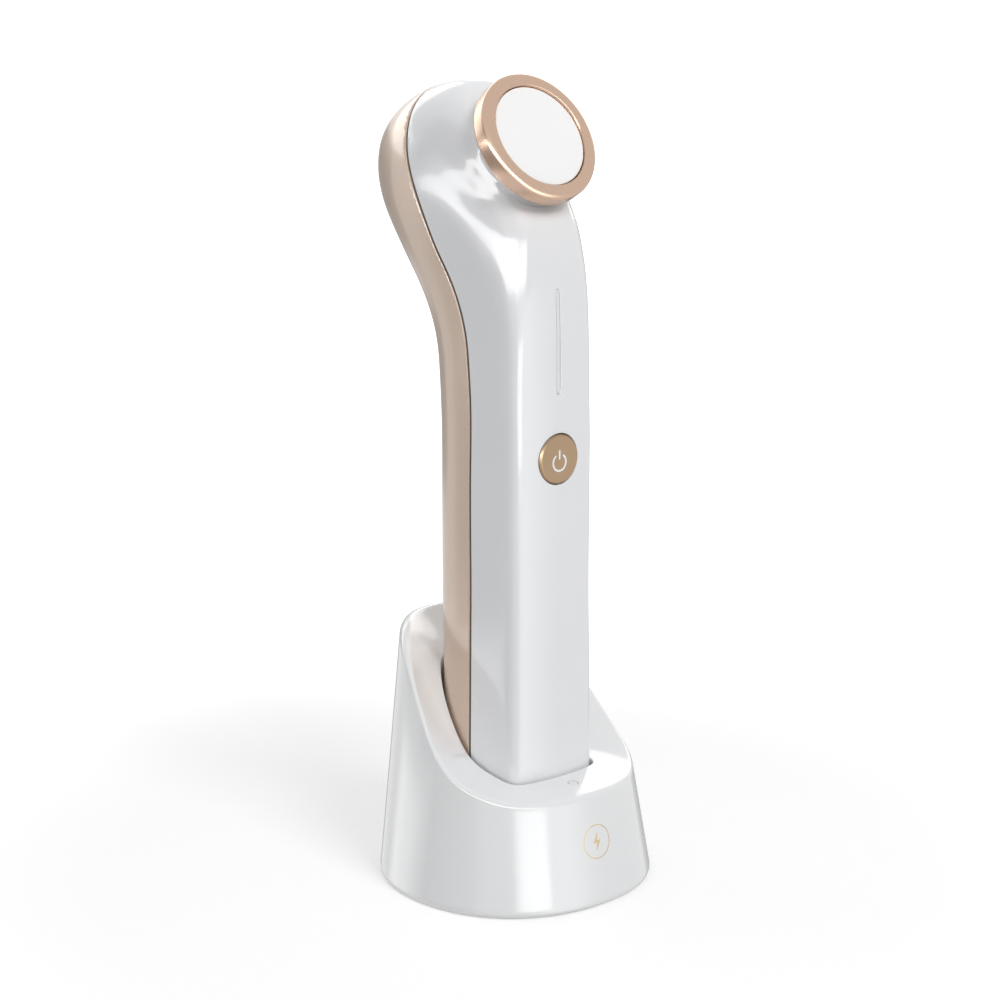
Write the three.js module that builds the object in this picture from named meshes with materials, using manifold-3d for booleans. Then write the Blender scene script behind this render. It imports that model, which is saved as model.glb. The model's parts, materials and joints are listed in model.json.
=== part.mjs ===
// Plasma skin treatment handset standing in its charging dock. Millimetres, +Z up, front towards -Y.
// The origin is the centre of the dock's underside.
import * as THREE from 'three';
import { mergeVertices } from 'three/addons/utils/BufferGeometryUtils.js';
import Module from 'manifold-3d';

const wasm = await Module();
wasm.setup();

// Clearances
const SEAT = 0.3; // between a piece and what carries it
const SOCKET_GAP = 0.5; // between the handset and the socket wall
const SEAM_GAP = 0.25; // between each shell and the seam gasket

// Handset: handle
const BASE_Z = 16; // underside of the docked handset above the table
const HANDLE_LENGTH = 129; // straight part of the handle
const HANDLE_HALF_WIDTH = 13.7; // at the top of the straight handle
const HANDLE_FRONT = 17; // from the handle's axis to the front face
const HANDLE_BACK = 19.2; // from the handle's axis to the back
const BACK_TAPER = 1.4; // how much the back draws in at the foot
const FOOT_SPREAD = 0.6; // how much the sides and the front widen at the foot
const FRONT_CROWN = 1.7;
const BACK_CROWN = 1.2;
const SHELL_WALL = 1.8;
const SEAM_Y = 1.7;
const GASKET_WIDTH = 0.4;
const GASKET_RECESS = 0.4;
const BASE_CAP_HEIGHT = 3.4;

// Handset: head
const HEAD_HALF_WIDTH = 15.2;
const HEAD_TILT = 29.3; // degrees between the disc's axis and level
const DISC_SETBACK = 7.9; // disc centre behind the handle's front
const DISC_RISE = 49.6; // disc centre above the top of the straight handle
const DISC_RADIUS = 12.95;
const DISC_THICKNESS = 2;
const RING_RADIUS = 16.9;
const RING_LIP = 0.6; // how far the ring stands proud of the disc
const RING_LEDGE = 1.3; // ledge behind the disc
const LEDGE_BORE = 10.8;
const RING_GASKET = 0.4;
const COLLAR_RADIUS = 15.3;
const COLLAR_LENGTH = 2.75;
const NECK_RADIUS = 14.45;
const HOLDER_LENGTH = 11;
const HOLDER_WALL = 1.8;

// Power button and status light
const BUTTON_Z = 98.4; // above the handset's underside
const BUTTON_RADIUS = 6.65; // bore in the front shell
const BUTTON_GAP = 0.2;
const BUTTON_PROUD = 0.2; // button's face in front of the shell's middle
const BUTTON_FLANGE_THICKNESS = 0.9;
const BUTTON_FLANGE = 1.2; // flange width behind the shell
const BUTTON_CLEAR = 0.9; // stem to switch, a little over the travel
const LIGHT_START = 114.9; // above the handset's underside
const LIGHT_LENGTH = 26.4;
const LIGHT_WIDTH = 1;
const LIGHT_GAP = 0.2;

// Handset: inside
const BOARD_WIDTH = 18;
const BOARD_THICKNESS = 1.6;
const BOARD_DEPTH = 8.4; // from the handle's front to the board's front
const BOARD_START = 46; // above the handset's underside
const BOARD_LENGTH = 88;
const SWITCH_SIZE = 6;
const SWITCH_HEIGHT = 2.4;
const FRAME_THICKNESS = 1.8;
const FRAME_FOOT = 2.2;
const CELL_RADIUS = 9;
const CELL_LENGTH = 65;
const TAB_THICKNESS = 0.5;
const CONVERTER_WIDTH = 16;
const CONVERTER_DEPTH = 12;
const CONVERTER_HEIGHT = 22;
const CONVERTER_GAP = 8;
const TRANSFORMER_WIDTH = 15;
const TRANSFORMER_DEPTH = 13;
const TRANSFORMER_HEIGHT = 15;
const LEAD_RADIUS = 1.1;
const LEAD_RISE = 7; // straight up from the transformer
const LEAD_BEND = 5; // reach of the bend into the disc's axis
const LEAD_STRAIGHT = 5; // straight run behind the electrode holder
const PAD_RADIUS = 2;
const PAD_THICKNESS = 0.8;
const PAD_RECESS = 0.6;
const PAD_SPACING = 10;
const PAD_Y = -9.8;
const WIRE_RADIUS = 0.6;
const WIRE_LAP = 6; // wire's end above the control board's lower edge

// Dock
const DOCK_HALF_WIDTH = 35.7;
const DOCK_FRONT = 35.4;
const DOCK_BACK = 36.5;
const DOCK_ROUNDNESS = 2.18; // front half of the plan: 2 is an ellipse, more is squarer
const DOCK_ROUNDNESS_BACK = 2;
const DRAFT_SIDE = 0.155; // walls lean in by this much per unit of height
const DRAFT_FRONT = 0.188;
const DRAFT_BACK = 0.009;
const DOCK_WALL = 2.2;
const DOCK_BOTTOM = 0.4;
const BOTTOM_ROUND = 1.4;
const RIM_ROUND = 1.1;
const RIM_ROUND_BACK = 3.8;
const SOCKET_WALL = 1.8;
const SOCKET_FLOOR = 2;
const BASE_PLATE = 2.2;
const PAD_SHEET = 1;
const PAD_SHEET_INSET = 4.5;
const DOCK_BOARD_Z = 6.9;
const DOCK_BOARD_WIDTH = 26;
const DOCK_BOARD_MARGIN = 0.8; // board's ends to the dock's wall
const BLOCK_TOP_DROP = 0.7; // contact block's top below the handset's underside
const PIN_RADIUS = 0.9;
const PIN_FLANGE = 1.6;
const LENS_RADIUS = 1.2;
const LENS_Y = -23;
const SCREW_MARGIN = 11; // from the dock's inner wall
const SCREW_Y = 14;
const POST_RADIUS = 3;
const BALLAST_LENGTH = 19;
const BALLAST_HEIGHT = 9;
const BALLAST_GAP = 0.9; // to the socket's wall
const BALLAST_MARGIN = 1.9; // to the dock's inner wall
const INLET_WIDTH = 8.9;
const INLET_HEIGHT = 3.3;
const INLET_LENGTH = 7.3;

// Heights of the dock's rim and of the scoop at the socket, as [distance to the back, height]
const RIM = [[-36, 29.2], [-24, 29.3], [-16, 31.4], [-10, 33.9], [-4, 38], [2, 44.2], [8, 50.8], [14, 56.4],
  [22, 61.5], [30, 64.6], [37, 65.6]];
const SCOOP = [[-20, 30.3], [-10, 31.3], [-2, 32.8], [1.6, 34.6], [6.3, 39.9], [10.1, 45.8], [14.2, 53],
  [19, 58.6], [24, 60.5]];
const SCOOP_BOWL = 1.5; // above 1 the scoop is hollow like a bowl

// The head bends back and over to the disc. Each rib runs from a point on the front line to one on the back.
// [front y, front z, back y, back z, half-width, front squareness, back squareness, crown]
// The y values count from the handle's front and back, the z values from the top of the straight handle.
const RIBS = [
  [0.4, 0, 2.8, 0, 0, 6.4, 4, 0.9],
  [0.7, 7, 7.3, 8.8, 0.18, 5.7, 3.8, 0.7],
  [1, 13.5, 13.8, 17, 0.45, 5, 3.5, 0.5],
  [1.4, 19, 20.4, 25, 0.75, 4.4, 3.2, 0.35],
  [2, 23.2, 25.6, 33, 0.95, 3.9, 3, 0.2],
  [2.6, 26.3, 27.8, 41, 1.05, 3.5, 2.8, 0.1],
  [3.3, 28.5, 26.2, 48.4, 1.05, 3.15, 2.7, 0],
  [4, 30.1, 21.2, 54.4, 1, 2.85, 2.6, 0],
  [4.7, 31.2, 13.8, 59, 0.95, 2.6, 2.5, 0],
  [5.4, 31.9, 5.2, 62, 0.9, 2.4, 2.35, 0],
  [6.1, 32.3, -3.2, 63.2, 0.85, 2.2, 2.2, 0],
  [6.8, 32.6, -9.4, 62.4, 0.8, 2.05, 2.1, 0],
];
// Side view of the seam between the shells above the straight handle, counted from the seam's straight part
const SEAM = [[0, -15], [0.5, -9], [1.7, 0], [4.2, 8], [7.5, 14.4], [11.6, 20.5], [15.7, 27.7], [19.8, 35.6],
  [22.8, 43], [24.1, 50], [24.5, 56], [24.6, 61], [24.7, 72]];

const SIDES = 32; // points round the handset
const INNER_SIDES = 24; // points round the hollow inside it
const SPOKES = 44; // points round the dock

// Smooth curve through [x, y] points, without overshoot
function follow(points, x) {
  const n = points.length;
  if (x <= points[0][0]) return points[0][1];
  if (x >= points[n - 1][0]) return points[n - 1][1];
  let i = 0;
  while (x > points[i + 1][0]) i += 1;
  const slope = (k) => (points[k + 1][1] - points[k][1]) / (points[k + 1][0] - points[k][0]);
  const tangent = (k) => {
    if (k === 0 || k === n - 1) return 0;
    const a = slope(k - 1);
    const b = slope(k);
    return a * b <= 0 ? 0 : (2 * a * b) / (a + b);
  };
  const h = points[i + 1][0] - points[i][0];
  const t = (x - points[i][0]) / h;
  return (2 * t ** 3 - 3 * t ** 2 + 1) * points[i][1] + (t ** 3 - 2 * t ** 2 + t) * h * tangent(i)
    + (3 * t ** 2 - 2 * t ** 3) * points[i + 1][1] + (t ** 3 - t ** 2) * h * tangent(i + 1);
}

// Solids
function closed(geometry) {
  const g = geometry.index && !geometry.attributes.uv ? geometry : geometry.clone();
  g.deleteAttribute('normal');
  g.deleteAttribute('uv');
  const merged = mergeVertices(g, 1e-4);
  const p = merged.attributes.position.array;
  const index = Array.from(merged.index.array);
  let volume = 0;
  for (let i = 0; i < index.length; i += 3) {
    const [a, b, c] = [index[i] * 3, index[i + 1] * 3, index[i + 2] * 3];
    volume += p[a] * (p[b + 1] * p[c + 2] - p[b + 2] * p[c + 1])
      + p[a + 1] * (p[b + 2] * p[c] - p[b] * p[c + 2]) + p[a + 2] * (p[b] * p[c + 1] - p[b + 1] * p[c]);
  }
  if (volume < 0) index.reverse();
  return new wasm.Manifold(new wasm.Mesh({
    numProp: 3, vertProperties: new Float32Array(p), triVerts: new Uint32Array(index),
  }));
}

function geometryOf(solid) {
  const mesh = solid.getMesh();
  const g = new THREE.BufferGeometry();
  g.setAttribute('position', new THREE.BufferAttribute(new Float32Array(mesh.vertProperties), 3));
  g.setIndex(new THREE.BufferAttribute(new Uint32Array(mesh.triVerts), 1));
  g.computeVertexNormals();
  return g;
}

// Skin over a row of loops with the same number of points, closed by a fan at each end
function loft(loops) {
  const n = loops[0].length;
  const positions = loops.flat(2);
  const index = [];
  for (let i = 0; i + 1 < loops.length; i += 1) {
    for (let j = 0; j < n; j += 1) {
      const [a, b] = [i * n + j, i * n + ((j + 1) % n)];
      index.push(a, b, b + n, a, b + n, a + n);
    }
  }
  for (const [loop, start, flip] of [[loops[0], 0, true], [loops.at(-1), (loops.length - 1) * n, false]]) {
    const centre = [0, 1, 2].map((k) => loop.reduce((sum, q) => sum + q[k], 0) / n);
    positions.push(...centre);
    const c = positions.length / 3 - 1;
    for (let j = 0; j < n; j += 1) {
      const [a, b] = [start + j, start + ((j + 1) % n)];
      index.push(...(flip ? [c, b, a] : [c, a, b]));
    }
  }
  const g = new THREE.BufferGeometry();
  g.setAttribute('position', new THREE.BufferAttribute(new Float32Array(positions), 3));
  g.setIndex(index);
  return closed(g);
}

function box(x0, x1, y0, y1, z0, z1) {
  return closed(new THREE.BoxGeometry(x1 - x0, y1 - y0, z1 - z0)
    .translate((x0 + x1) / 2, (y0 + y1) / 2, (z0 + z1) / 2));
}

// Upright round rod at x, y
function rod(x, y, radius, z0, z1, sides = 16) {
  return closed(new THREE.CylinderGeometry(radius, radius, z1 - z0, sides).rotateX(Math.PI / 2)
    .translate(x, y, (z0 + z1) / 2));
}

// Turned piece from [radius, height] points round the geometry's own Y axis
function turned(profile, sides = 40) {
  return closed(new THREE.LatheGeometry(profile.map((q) => new THREE.Vector2(q[0], q[1])), sides));
}

// Side-view outline in [y, z], as wide as x0 to x1
function slab(outline, x0, x1) {
  const shape = new THREE.Shape(outline.map((q) => new THREE.Vector2(q[0], q[1])));
  const g = new THREE.ExtrudeGeometry(shape, { depth: x1 - x0, bevelEnabled: false, steps: 1 });
  g.translate(0, 0, x0);
  g.applyMatrix4(new THREE.Matrix4().set(0, 0, 1, 0, 1, 0, 0, 0, 0, 1, 0, 0, 0, 0, 0, 1));
  return closed(g);
}

function tube(points, radius, sides = 8) {
  const path = new THREE.CatmullRomCurve3(points.map((q) => new THREE.Vector3(...q)));
  const shape = new THREE.Shape();
  for (let i = 0; i < sides; i += 1) {
    const a = (2 * Math.PI * i) / sides;
    shape[i ? 'lineTo' : 'moveTo'](radius * Math.cos(a), radius * Math.sin(a));
  }
  shape.closePath();
  return closed(new THREE.ExtrudeGeometry(shape, { steps: 24, bevelEnabled: false, extrudePath: path }));
}

// Handset skin
const BEND_Z = BASE_Z + HANDLE_LENGTH;
const tilt = THREE.MathUtils.degToRad(HEAD_TILT);
const DISC_Y = -HANDLE_FRONT + DISC_SETBACK;
const DISC_Z = BEND_Z + DISC_RISE;
const RING_BACK = -DISC_THICKNESS - SEAT - RING_LEDGE; // along the disc's axis, from the disc's face
const COLLAR_FRONT = RING_BACK - 2 * SEAT - RING_GASKET;
const COLLAR_BACK = COLLAR_FRONT - COLLAR_LENGTH;
const NECK_END = COLLAR_BACK - SEAT;

// Side-view point at a distance along the disc's axis and across it
function fromDisc(along, across) {
  return [DISC_Y - along * Math.cos(tilt) + across * Math.sin(tilt),
    DISC_Z + along * Math.sin(tilt) + across * Math.cos(tilt)];
}

function rib(front, back, half, frontSquare, backSquare, crown) {
  return { front, back, half, frontSquare, backSquare, crown };
}

function level(z, crown = 1) {
  const t = Math.min(1, Math.max(0, (z - BASE_Z) / (HANDLE_LENGTH * 0.5)));
  const back = HANDLE_BACK - BACK_TAPER * (1 - t);
  const spread = FOOT_SPREAD * (1 - t);
  return rib([-HANDLE_FRONT - spread, z], [back, z], HANDLE_HALF_WIDTH + spread, 6.5, 4, crown);
}

function headRibs() {
  const wide = HEAD_HALF_WIDTH - HANDLE_HALF_WIDTH;
  const list = [level(BASE_Z), level(BASE_Z + HANDLE_LENGTH * 0.5), level(BEND_Z - 25), level(BEND_Z - 12)];
  list[3].back[0] += 0.7;
  list[3].front[0] += 0.3;
  for (const [fy, fz, by, bz, w, nf, nb, crown] of RIBS) {
    list.push(rib([-HANDLE_FRONT + fy, BEND_Z + fz], [HANDLE_BACK + by, BEND_Z + bz],
      HANDLE_HALF_WIDTH + wide * w, nf, nb, crown));
  }
  list.push(rib(fromDisc(NECK_END, -NECK_RADIUS), fromDisc(NECK_END, NECK_RADIUS), NECK_RADIUS, 2, 2, 0));
  return list;
}

// Ribs with one more between each two, on a smooth curve
function refined(list) {
  const mix = (a, b, c, d) => (9 * (b + c) - (a + d)) / 16;
  const out = [];
  for (let i = 0; i + 1 < list.length; i += 1) {
    out.push(list[i]);
    if (i < 4 || i > 11) continue;
    const [a, b, c, d] = [list[i - 1], list[i], list[i + 1], list[Math.min(i + 2, list.length - 1)]];
    const pair = (key) => [0, 1].map((k) => mix(a[key][k], b[key][k], c[key][k], d[key][k]));
    const one = (key) => (b[key] + c[key]) / 2;
    out.push(rib(pair('front'), pair('back'), mix(a.half, b.half, c.half, d.half), one('frontSquare'),
      one('backSquare'), one('crown')));
  }
  out.push(list.at(-1));
  return out;
}

// Loop of points round a rib, drawn in by the inset
function ribLoop(r, inset, sides = SIDES) {
  const [dy, dz] = [r.back[0] - r.front[0], r.back[1] - r.front[1]];
  const length = Math.hypot(dy, dz);
  const points = [];
  for (let i = 0; i < sides; i += 1) {
    const a = (2 * Math.PI * i) / sides;
    const [c, s] = [Math.cos(a), Math.sin(a)];
    const square = s < 0 ? r.frontSquare : r.backSquare;
    const px = Math.sign(c) * Math.abs(c) ** (2 / square);
    const crown = (s < 0 ? FRONT_CROWN : BACK_CROWN) * r.crown;
    const deep = Math.sign(s) * Math.abs(s) ** (2 / square) * (length / 2 - inset - crown * px * px);
    const k = 0.5 + deep / length;
    points.push([px * (r.half - inset), r.front[0] + dy * k, r.front[1] + dz * k]);
  }
  return points;
}

const ribs = refined(headRibs());
const outer = loft(ribs.map((r) => ribLoop(r, 0)));

// Ribs drawn in square to the front line and the back line
function insetRibs(list, inset) {
  return list.map((r, i) => {
    const [a, b] = [list[Math.max(0, i - 1)], list[Math.min(list.length - 1, i + 1)]];
    const shift = (key, side) => {
      const [dy, dz] = [b[key][0] - a[key][0], b[key][1] - a[key][1]];
      const d = (side * inset) / Math.hypot(dy, dz);
      return [r[key][0] + d * dz, r[key][1] - d * dy];
    };
    return { ...r, front: shift('front', 1), back: shift('back', -1), half: r.half - inset };
  });
}

// The hollow inside: the skin drawn in by the wall, run out past the foot, with a round bore through the neck
function hollowInside() {
  const list = insetRibs(headRibs(), SHELL_WALL);
  const [end, bore] = [NECK_END - SHELL_WALL, NECK_RADIUS - SHELL_WALL];
  list[list.length - 1] = rib(fromDisc(end, -bore), fromDisc(end, bore), bore, 2, 2, 0);
  const loops = list.map((r) => ribLoop(r, 0, INNER_SIDES));
  loops.unshift(loops[0].map(([x, y, z]) => [x, y, z - 2]));
  const throat = turned([[0, end - 1], [bore, end - 1], [bore, NECK_END + 2], [0, NECK_END + 2]])
    .rotate([180 - HEAD_TILT, 0, 0]).translate([0, DISC_Y, DISC_Z]);
  return loft(loops).add(throat);
}

// Side-view region on one side of the seam, moved off it by a distance
const seamLine = [[SEAM_Y, BASE_Z - 10], ...SEAM.map(([y, z]) => [SEAM_Y + y, BEND_Z + z])];

function seamOffset(distance) {
  return seamLine.map(([y, z], i) => {
    const a = seamLine[Math.max(0, i - 1)];
    const b = seamLine[Math.min(seamLine.length - 1, i + 1)];
    const [dy, dz] = [b[0] - a[0], b[1] - a[1]];
    const d = Math.hypot(dy, dz);
    return [y + (distance * dz) / d, z - (distance * dy) / d];
  });
}

const FAR = 90;
const seamHalf = GASKET_WIDTH / 2 + SEAM_GAP;
const top = seamLine.at(-1)[1];
const WIDE = HEAD_HALF_WIDTH + 5;
const frontSide = slab([...seamOffset(-seamHalf), [-FAR, top], [-FAR, BASE_Z - 10]], -WIDE, WIDE);
const backSide = slab([...seamOffset(seamHalf), [FAR, top], [FAR, BASE_Z - 10]], -WIDE, WIDE);
const seamBand = slab([...seamOffset(-GASKET_WIDTH / 2), ...seamOffset(GASKET_WIDTH / 2).reverse()],
  -WIDE, WIDE);

const hollow = hollowInside();
const skin = outer.subtract(hollow);
const gasketSkin = loft(insetRibs(ribs, GASKET_RECESS).map((r) => ribLoop(r, 0))).subtract(hollow);

// The front line's depth at a height, at the middle of the handset
function frontLine(z) {
  for (let i = 0; i + 1 < ribs.length; i += 1) {
    const [a, b] = [ribs[i].front, ribs[i + 1].front];
    if (z >= a[1] && z <= b[1]) return a[0] + ((b[0] - a[0]) * (z - a[1])) / (b[1] - a[1]);
  }
  return -HANDLE_FRONT;
}

// Button, turned round Y
const buttonZ = BASE_Z + BUTTON_Z;
const buttonFace = frontLine(buttonZ) - BUTTON_PROUD;
const insideCrown = (x) => 0.15 + FRONT_CROWN * (x / (HANDLE_HALF_WIDTH - SHELL_WALL)) ** 2;
const flangeRadius = BUTTON_RADIUS - BUTTON_GAP + BUTTON_FLANGE;
const shellInside = frontLine(buttonZ) + SHELL_WALL + insideCrown(flangeRadius);
const boardFront = -HANDLE_FRONT + BOARD_DEPTH;
const switchFront = boardFront - SWITCH_HEIGHT - 0.9;
const buttonBack = shellInside + SEAT + BUTTON_FLANGE_THICKNESS;
const buttonRim = BUTTON_RADIUS - BUTTON_GAP;
const buttonCap = turned([
  [0, buttonFace], [buttonRim - 0.5, buttonFace], [buttonRim, buttonFace + 0.4],
  [buttonRim, shellInside + SEAT], [flangeRadius, shellInside + SEAT],
  [flangeRadius, buttonBack], [1.6, buttonBack], [1.6, switchFront - BUTTON_CLEAR],
  [0, switchFront - BUTTON_CLEAR],
], 40);
const buttonBore = turned([
  [0, buttonFace - 5], [BUTTON_RADIUS, buttonFace - 5], [BUTTON_RADIUS, buttonFace + 6], [0, buttonFace + 6],
], 40).translate([0, 0, buttonZ]);

// Status light: a thin bar that follows the front line, with a wider foot behind the shell
const lightZ0 = BASE_Z + LIGHT_START;
const lightZ1 = lightZ0 + LIGHT_LENGTH;
const steps = [0, 0.25, 0.5, 0.75, 1].map((t) => lightZ0 + LIGHT_LENGTH * t);
const lightFront = steps.map((z) => [frontLine(z), z]);
const lightFoot = LIGHT_WIDTH * 1.6;
const lightBack = steps.map((z) => [frontLine(z) + SHELL_WALL + SEAT + insideCrown(lightFoot), z]).reverse();
const lightStem = boardFront - 1 - SEAT;
const lightMid = (lightZ0 + lightZ1) / 2;
const lightBar = slab([...lightFront, ...lightBack], -LIGHT_WIDTH / 2, LIGHT_WIDTH / 2)
  .add(slab([...lightBack.map(([y, z]) => [y + 0.8, z]).reverse(), ...lightBack], -lightFoot, lightFoot))
  .add(box(-LIGHT_WIDTH, LIGHT_WIDTH, frontLine(lightMid) + SHELL_WALL + 0.6, lightStem, lightMid - 6,
    lightMid + 6));
const lightSlot = box(-LIGHT_WIDTH / 2 - LIGHT_GAP, LIGHT_WIDTH / 2 + LIGHT_GAP, -HANDLE_FRONT - 4,
  -HANDLE_FRONT + 8, lightZ0 - LIGHT_GAP, lightZ1 + LIGHT_GAP);

const frontShell = skin.intersect(frontSide).subtract(buttonBore).subtract(lightSlot);
const rearShell = skin.intersect(backSide);
const seamGasket = gasketSkin.intersect(seamBand);

// Base cap: closes the foot, with two pockets for the charge pads and two screws
const capLoop = (z, inset) => ribLoop(level(z), inset, INNER_SIDES);
const capTop = BASE_Z + BASE_CAP_HEIGHT;
const padX = PAD_SPACING / 2;
const padBottom = BASE_Z + PAD_RECESS;
const padTop = padBottom + PAD_THICKNESS;
const capScrewY = [-2.5, 11];
let baseCap = loft([capLoop(BASE_Z, SHELL_WALL + SEAT), capLoop(capTop, SHELL_WALL + SEAT)]);
const footTop = capTop + SEAT + FRAME_FOOT;
let frame = loft([capLoop(capTop + SEAT, SHELL_WALL + SEAT), capLoop(footTop, SHELL_WALL + SEAT)]);
for (const x of [-padX, padX]) {
  baseCap = baseCap.subtract(rod(x, PAD_Y, PAD_RADIUS + SEAT, BASE_Z - 1, padTop + SEAT, 24))
    .subtract(rod(x, PAD_Y, WIRE_RADIUS + SEAT, BASE_Z, capTop + 1, 12));
  frame = frame.subtract(rod(x, PAD_Y, WIRE_RADIUS + SEAT, capTop, footTop + 1, 12));
}
for (const y of capScrewY) {
  baseCap = baseCap.subtract(rod(0, y, 2.1, BASE_Z - 1, BASE_Z + 1.8))
    .subtract(rod(0, y, 1.25, BASE_Z, capTop + 1, 12));
  frame = frame.subtract(rod(0, y, 1.25, capTop, footTop + 1, 12));
}

// Inner frame: foot, spine behind the board, walls round the cell and a shelf above it
const spineFront = boardFront + BOARD_THICKNESS + SEAT;
const spineBack = spineFront + FRAME_THICKNESS;
const boardZ0 = BASE_Z + BOARD_START;
const boardZ1 = boardZ0 + BOARD_LENGTH;
const cellY = spineBack + SEAT + CELL_RADIUS;
const cellZ0 = footTop + 2 * SEAT + TAB_THICKNESS;
const cellZ1 = cellZ0 + CELL_LENGTH;
const shelfZ = cellZ1 + 2 * SEAT + TAB_THICKNESS;
const cheek = CELL_RADIUS + SEAT;
const cheekOut = HANDLE_HALF_WIDTH - SHELL_WALL - 1;
frame = frame.add(box(-BOARD_WIDTH / 2 - 1, BOARD_WIDTH / 2 + 1, spineFront, spineBack, footTop - 1, boardZ1))
  .add(box(cheek, cheekOut, spineFront, cellY + 1, footTop - 1, shelfZ + 1.5))
  .add(box(-cheekOut, -cheek, spineFront, cellY + 1, footTop - 1, shelfZ + 1.5))
  .add(box(-cheekOut, cheekOut, spineFront, cellY + 1, shelfZ, shelfZ + 1.5))
  .add(box(-cheek + 1, cheek - 1, spineFront, cellY + CELL_RADIUS - 2, shelfZ, shelfZ + 1.5));
const converterZ0 = shelfZ + 1.5 + SEAT;
const converterZ1 = converterZ0 + CONVERTER_HEIGHT;
const transformerZ0 = converterZ1 + CONVERTER_GAP;
const transformerZ1 = transformerZ0 + TRANSFORMER_HEIGHT;
const blockY0 = spineBack + SEAT;

// High-voltage lead, from the transformer up into the head and along the disc's axis to the electrode
const leadStart = transformerZ1 + SEAT;
const leadEnd = fromDisc(RING_BACK - SEAT, 0);
const leadY = blockY0 + TRANSFORMER_DEPTH / 2;
const leadBack = RING_BACK - SEAT - HOLDER_LENGTH - LEAD_STRAIGHT;
const hvLead = tube([
  [0, leadY, leadStart], [0, leadY, leadStart + LEAD_RISE],
  [0, ...fromDisc(leadBack - LEAD_BEND * 2, -LEAD_BEND * 4)],
  [0, ...fromDisc(leadBack - LEAD_BEND, -LEAD_BEND)], [0, ...fromDisc(leadBack, 0)],
  [0, ...fromDisc(leadBack + LEAD_STRAIGHT, 0)], [0, ...leadEnd],
], LEAD_RADIUS);

// Dock
function wallAt(angle, z, inset = 0) {
  const [c, s] = [Math.cos(angle), Math.sin(angle)];
  const a = DOCK_HALF_WIDTH - DRAFT_SIDE * z - inset;
  const b = (s < 0 ? DOCK_FRONT - DRAFT_FRONT * z : DOCK_BACK - DRAFT_BACK * z) - inset;
  const n = s < 0 ? DOCK_ROUNDNESS : DOCK_ROUNDNESS_BACK;
  const radius = ((Math.abs(c) / a) ** n + (Math.abs(s) / b) ** n) ** (-1 / n);
  return [radius * c, radius * s];
}

// How far back (side 1) or forward (side -1) the wall lies at a distance x from the middle
function wallReach(x, z, inset, side) {
  const a = DOCK_HALF_WIDTH - DRAFT_SIDE * z - inset;
  const b = (side < 0 ? DOCK_FRONT - DRAFT_FRONT * z : DOCK_BACK - DRAFT_BACK * z) - inset;
  const n = side < 0 ? DOCK_ROUNDNESS : DOCK_ROUNDNESS_BACK;
  return side * b * (1 - (Math.abs(x) / a) ** n) ** (1 / n);
}

// How far out sideways the wall lies at a distance y behind the middle
function wallWidth(y, z, inset) {
  const a = DOCK_HALF_WIDTH - DRAFT_SIDE * z - inset;
  const b = (y < 0 ? DOCK_FRONT - DRAFT_FRONT * z : DOCK_BACK - DRAFT_BACK * z) - inset;
  const n = y < 0 ? DOCK_ROUNDNESS : DOCK_ROUNDNESS_BACK;
  return a * (1 - (Math.abs(y) / b) ** n) ** (1 / n);
}

function roundAt(y) {
  return RIM_ROUND + (RIM_ROUND_BACK - RIM_ROUND) * THREE.MathUtils.smoothstep(y, 8, DOCK_BACK - 4);
}

// One spoke of the dock: its angle, the rim's height and the two ends of the scoop
const spokes = Array.from({ length: SPOKES }, (_, i) => {
  const angle = (2 * Math.PI * i) / SPOKES;
  const [c, s] = [Math.cos(angle), Math.sin(angle)];
  let z = 30;
  for (let k = 0; k < 30; k += 1) z = follow(RIM, wallAt(angle, z)[1]);
  const foot = level(BASE_Z + 30);
  const [a, b, n] = [foot.half - 0.5, (s < 0 ? HANDLE_FRONT : foot.back[0]) - 0.5, s < 0 ? 5 : 4];
  const radius = ((Math.abs(c) / a) ** n + (Math.abs(s) / b) ** n) ** (-1 / n);
  return { angle, z, foot: [radius * c, radius * s] };
});

function scoopPoint(spoke, t, inset, drop) {
  const y = wallAt(spoke.angle, spoke.z)[1];
  const [rx, ry] = wallAt(spoke.angle, spoke.z, roundAt(y));
  const [fx, fy] = spoke.foot;
  const reach = Math.hypot(rx - fx, ry - fy);
  const k = t * Math.min(1, (reach + roundAt(y) - inset) / reach);
  const low = follow(SCOOP, fy);
  const z = low + (spoke.z - low) * k ** SCOOP_BOWL;
  const slope = (spoke.z - low) / reach;
  return [fx + (rx - fx) * k, fy + (ry - fy) * k, z - drop * Math.hypot(1, slope)];
}

function dockLoops(inset, drop, bottom) {
  const at = (height, pull) => spokes.map((s) => {
    const z = height(s);
    return [...wallAt(s.angle, z, inset + pull(s)), z];
  });
  const round = (s) => roundAt(wallAt(s.angle, s.z)[1]);
  const loops = [];
  if (inset === 0) {
    const r = BOTTOM_ROUND;
    for (const [up, pull] of [[0, 0.6], [0.3, 0.2], [1, 0]]) {
      loops.push(at(() => bottom + r * up, () => r * pull));
    }
    for (const [down, pull] of [[1, 0], [0.45, 0.16], [0.12, 0.5]]) {
      loops.push(at((s) => s.z - round(s) * down, (s) => round(s) * pull));
    }
  } else {
    loops.push(at(() => bottom, () => 0));
  }
  const levels = inset === 0 ? [1, 0.75, 0.5, 0.25, 0] : [1, 0.66, 0.33, 0];
  for (const t of levels) loops.push(spokes.map((s) => scoopPoint(s, t, inset, drop)));
  return loops;
}

const socketFloorTop = BASE_Z - SEAT;
const socketFloorBottom = socketFloorTop - SOCKET_FLOOR;
const SOCKET_TOP = RIM.at(-1)[1] + 5;
const socketHeights = [socketFloorTop, BASE_Z + 30, SOCKET_TOP];
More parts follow.
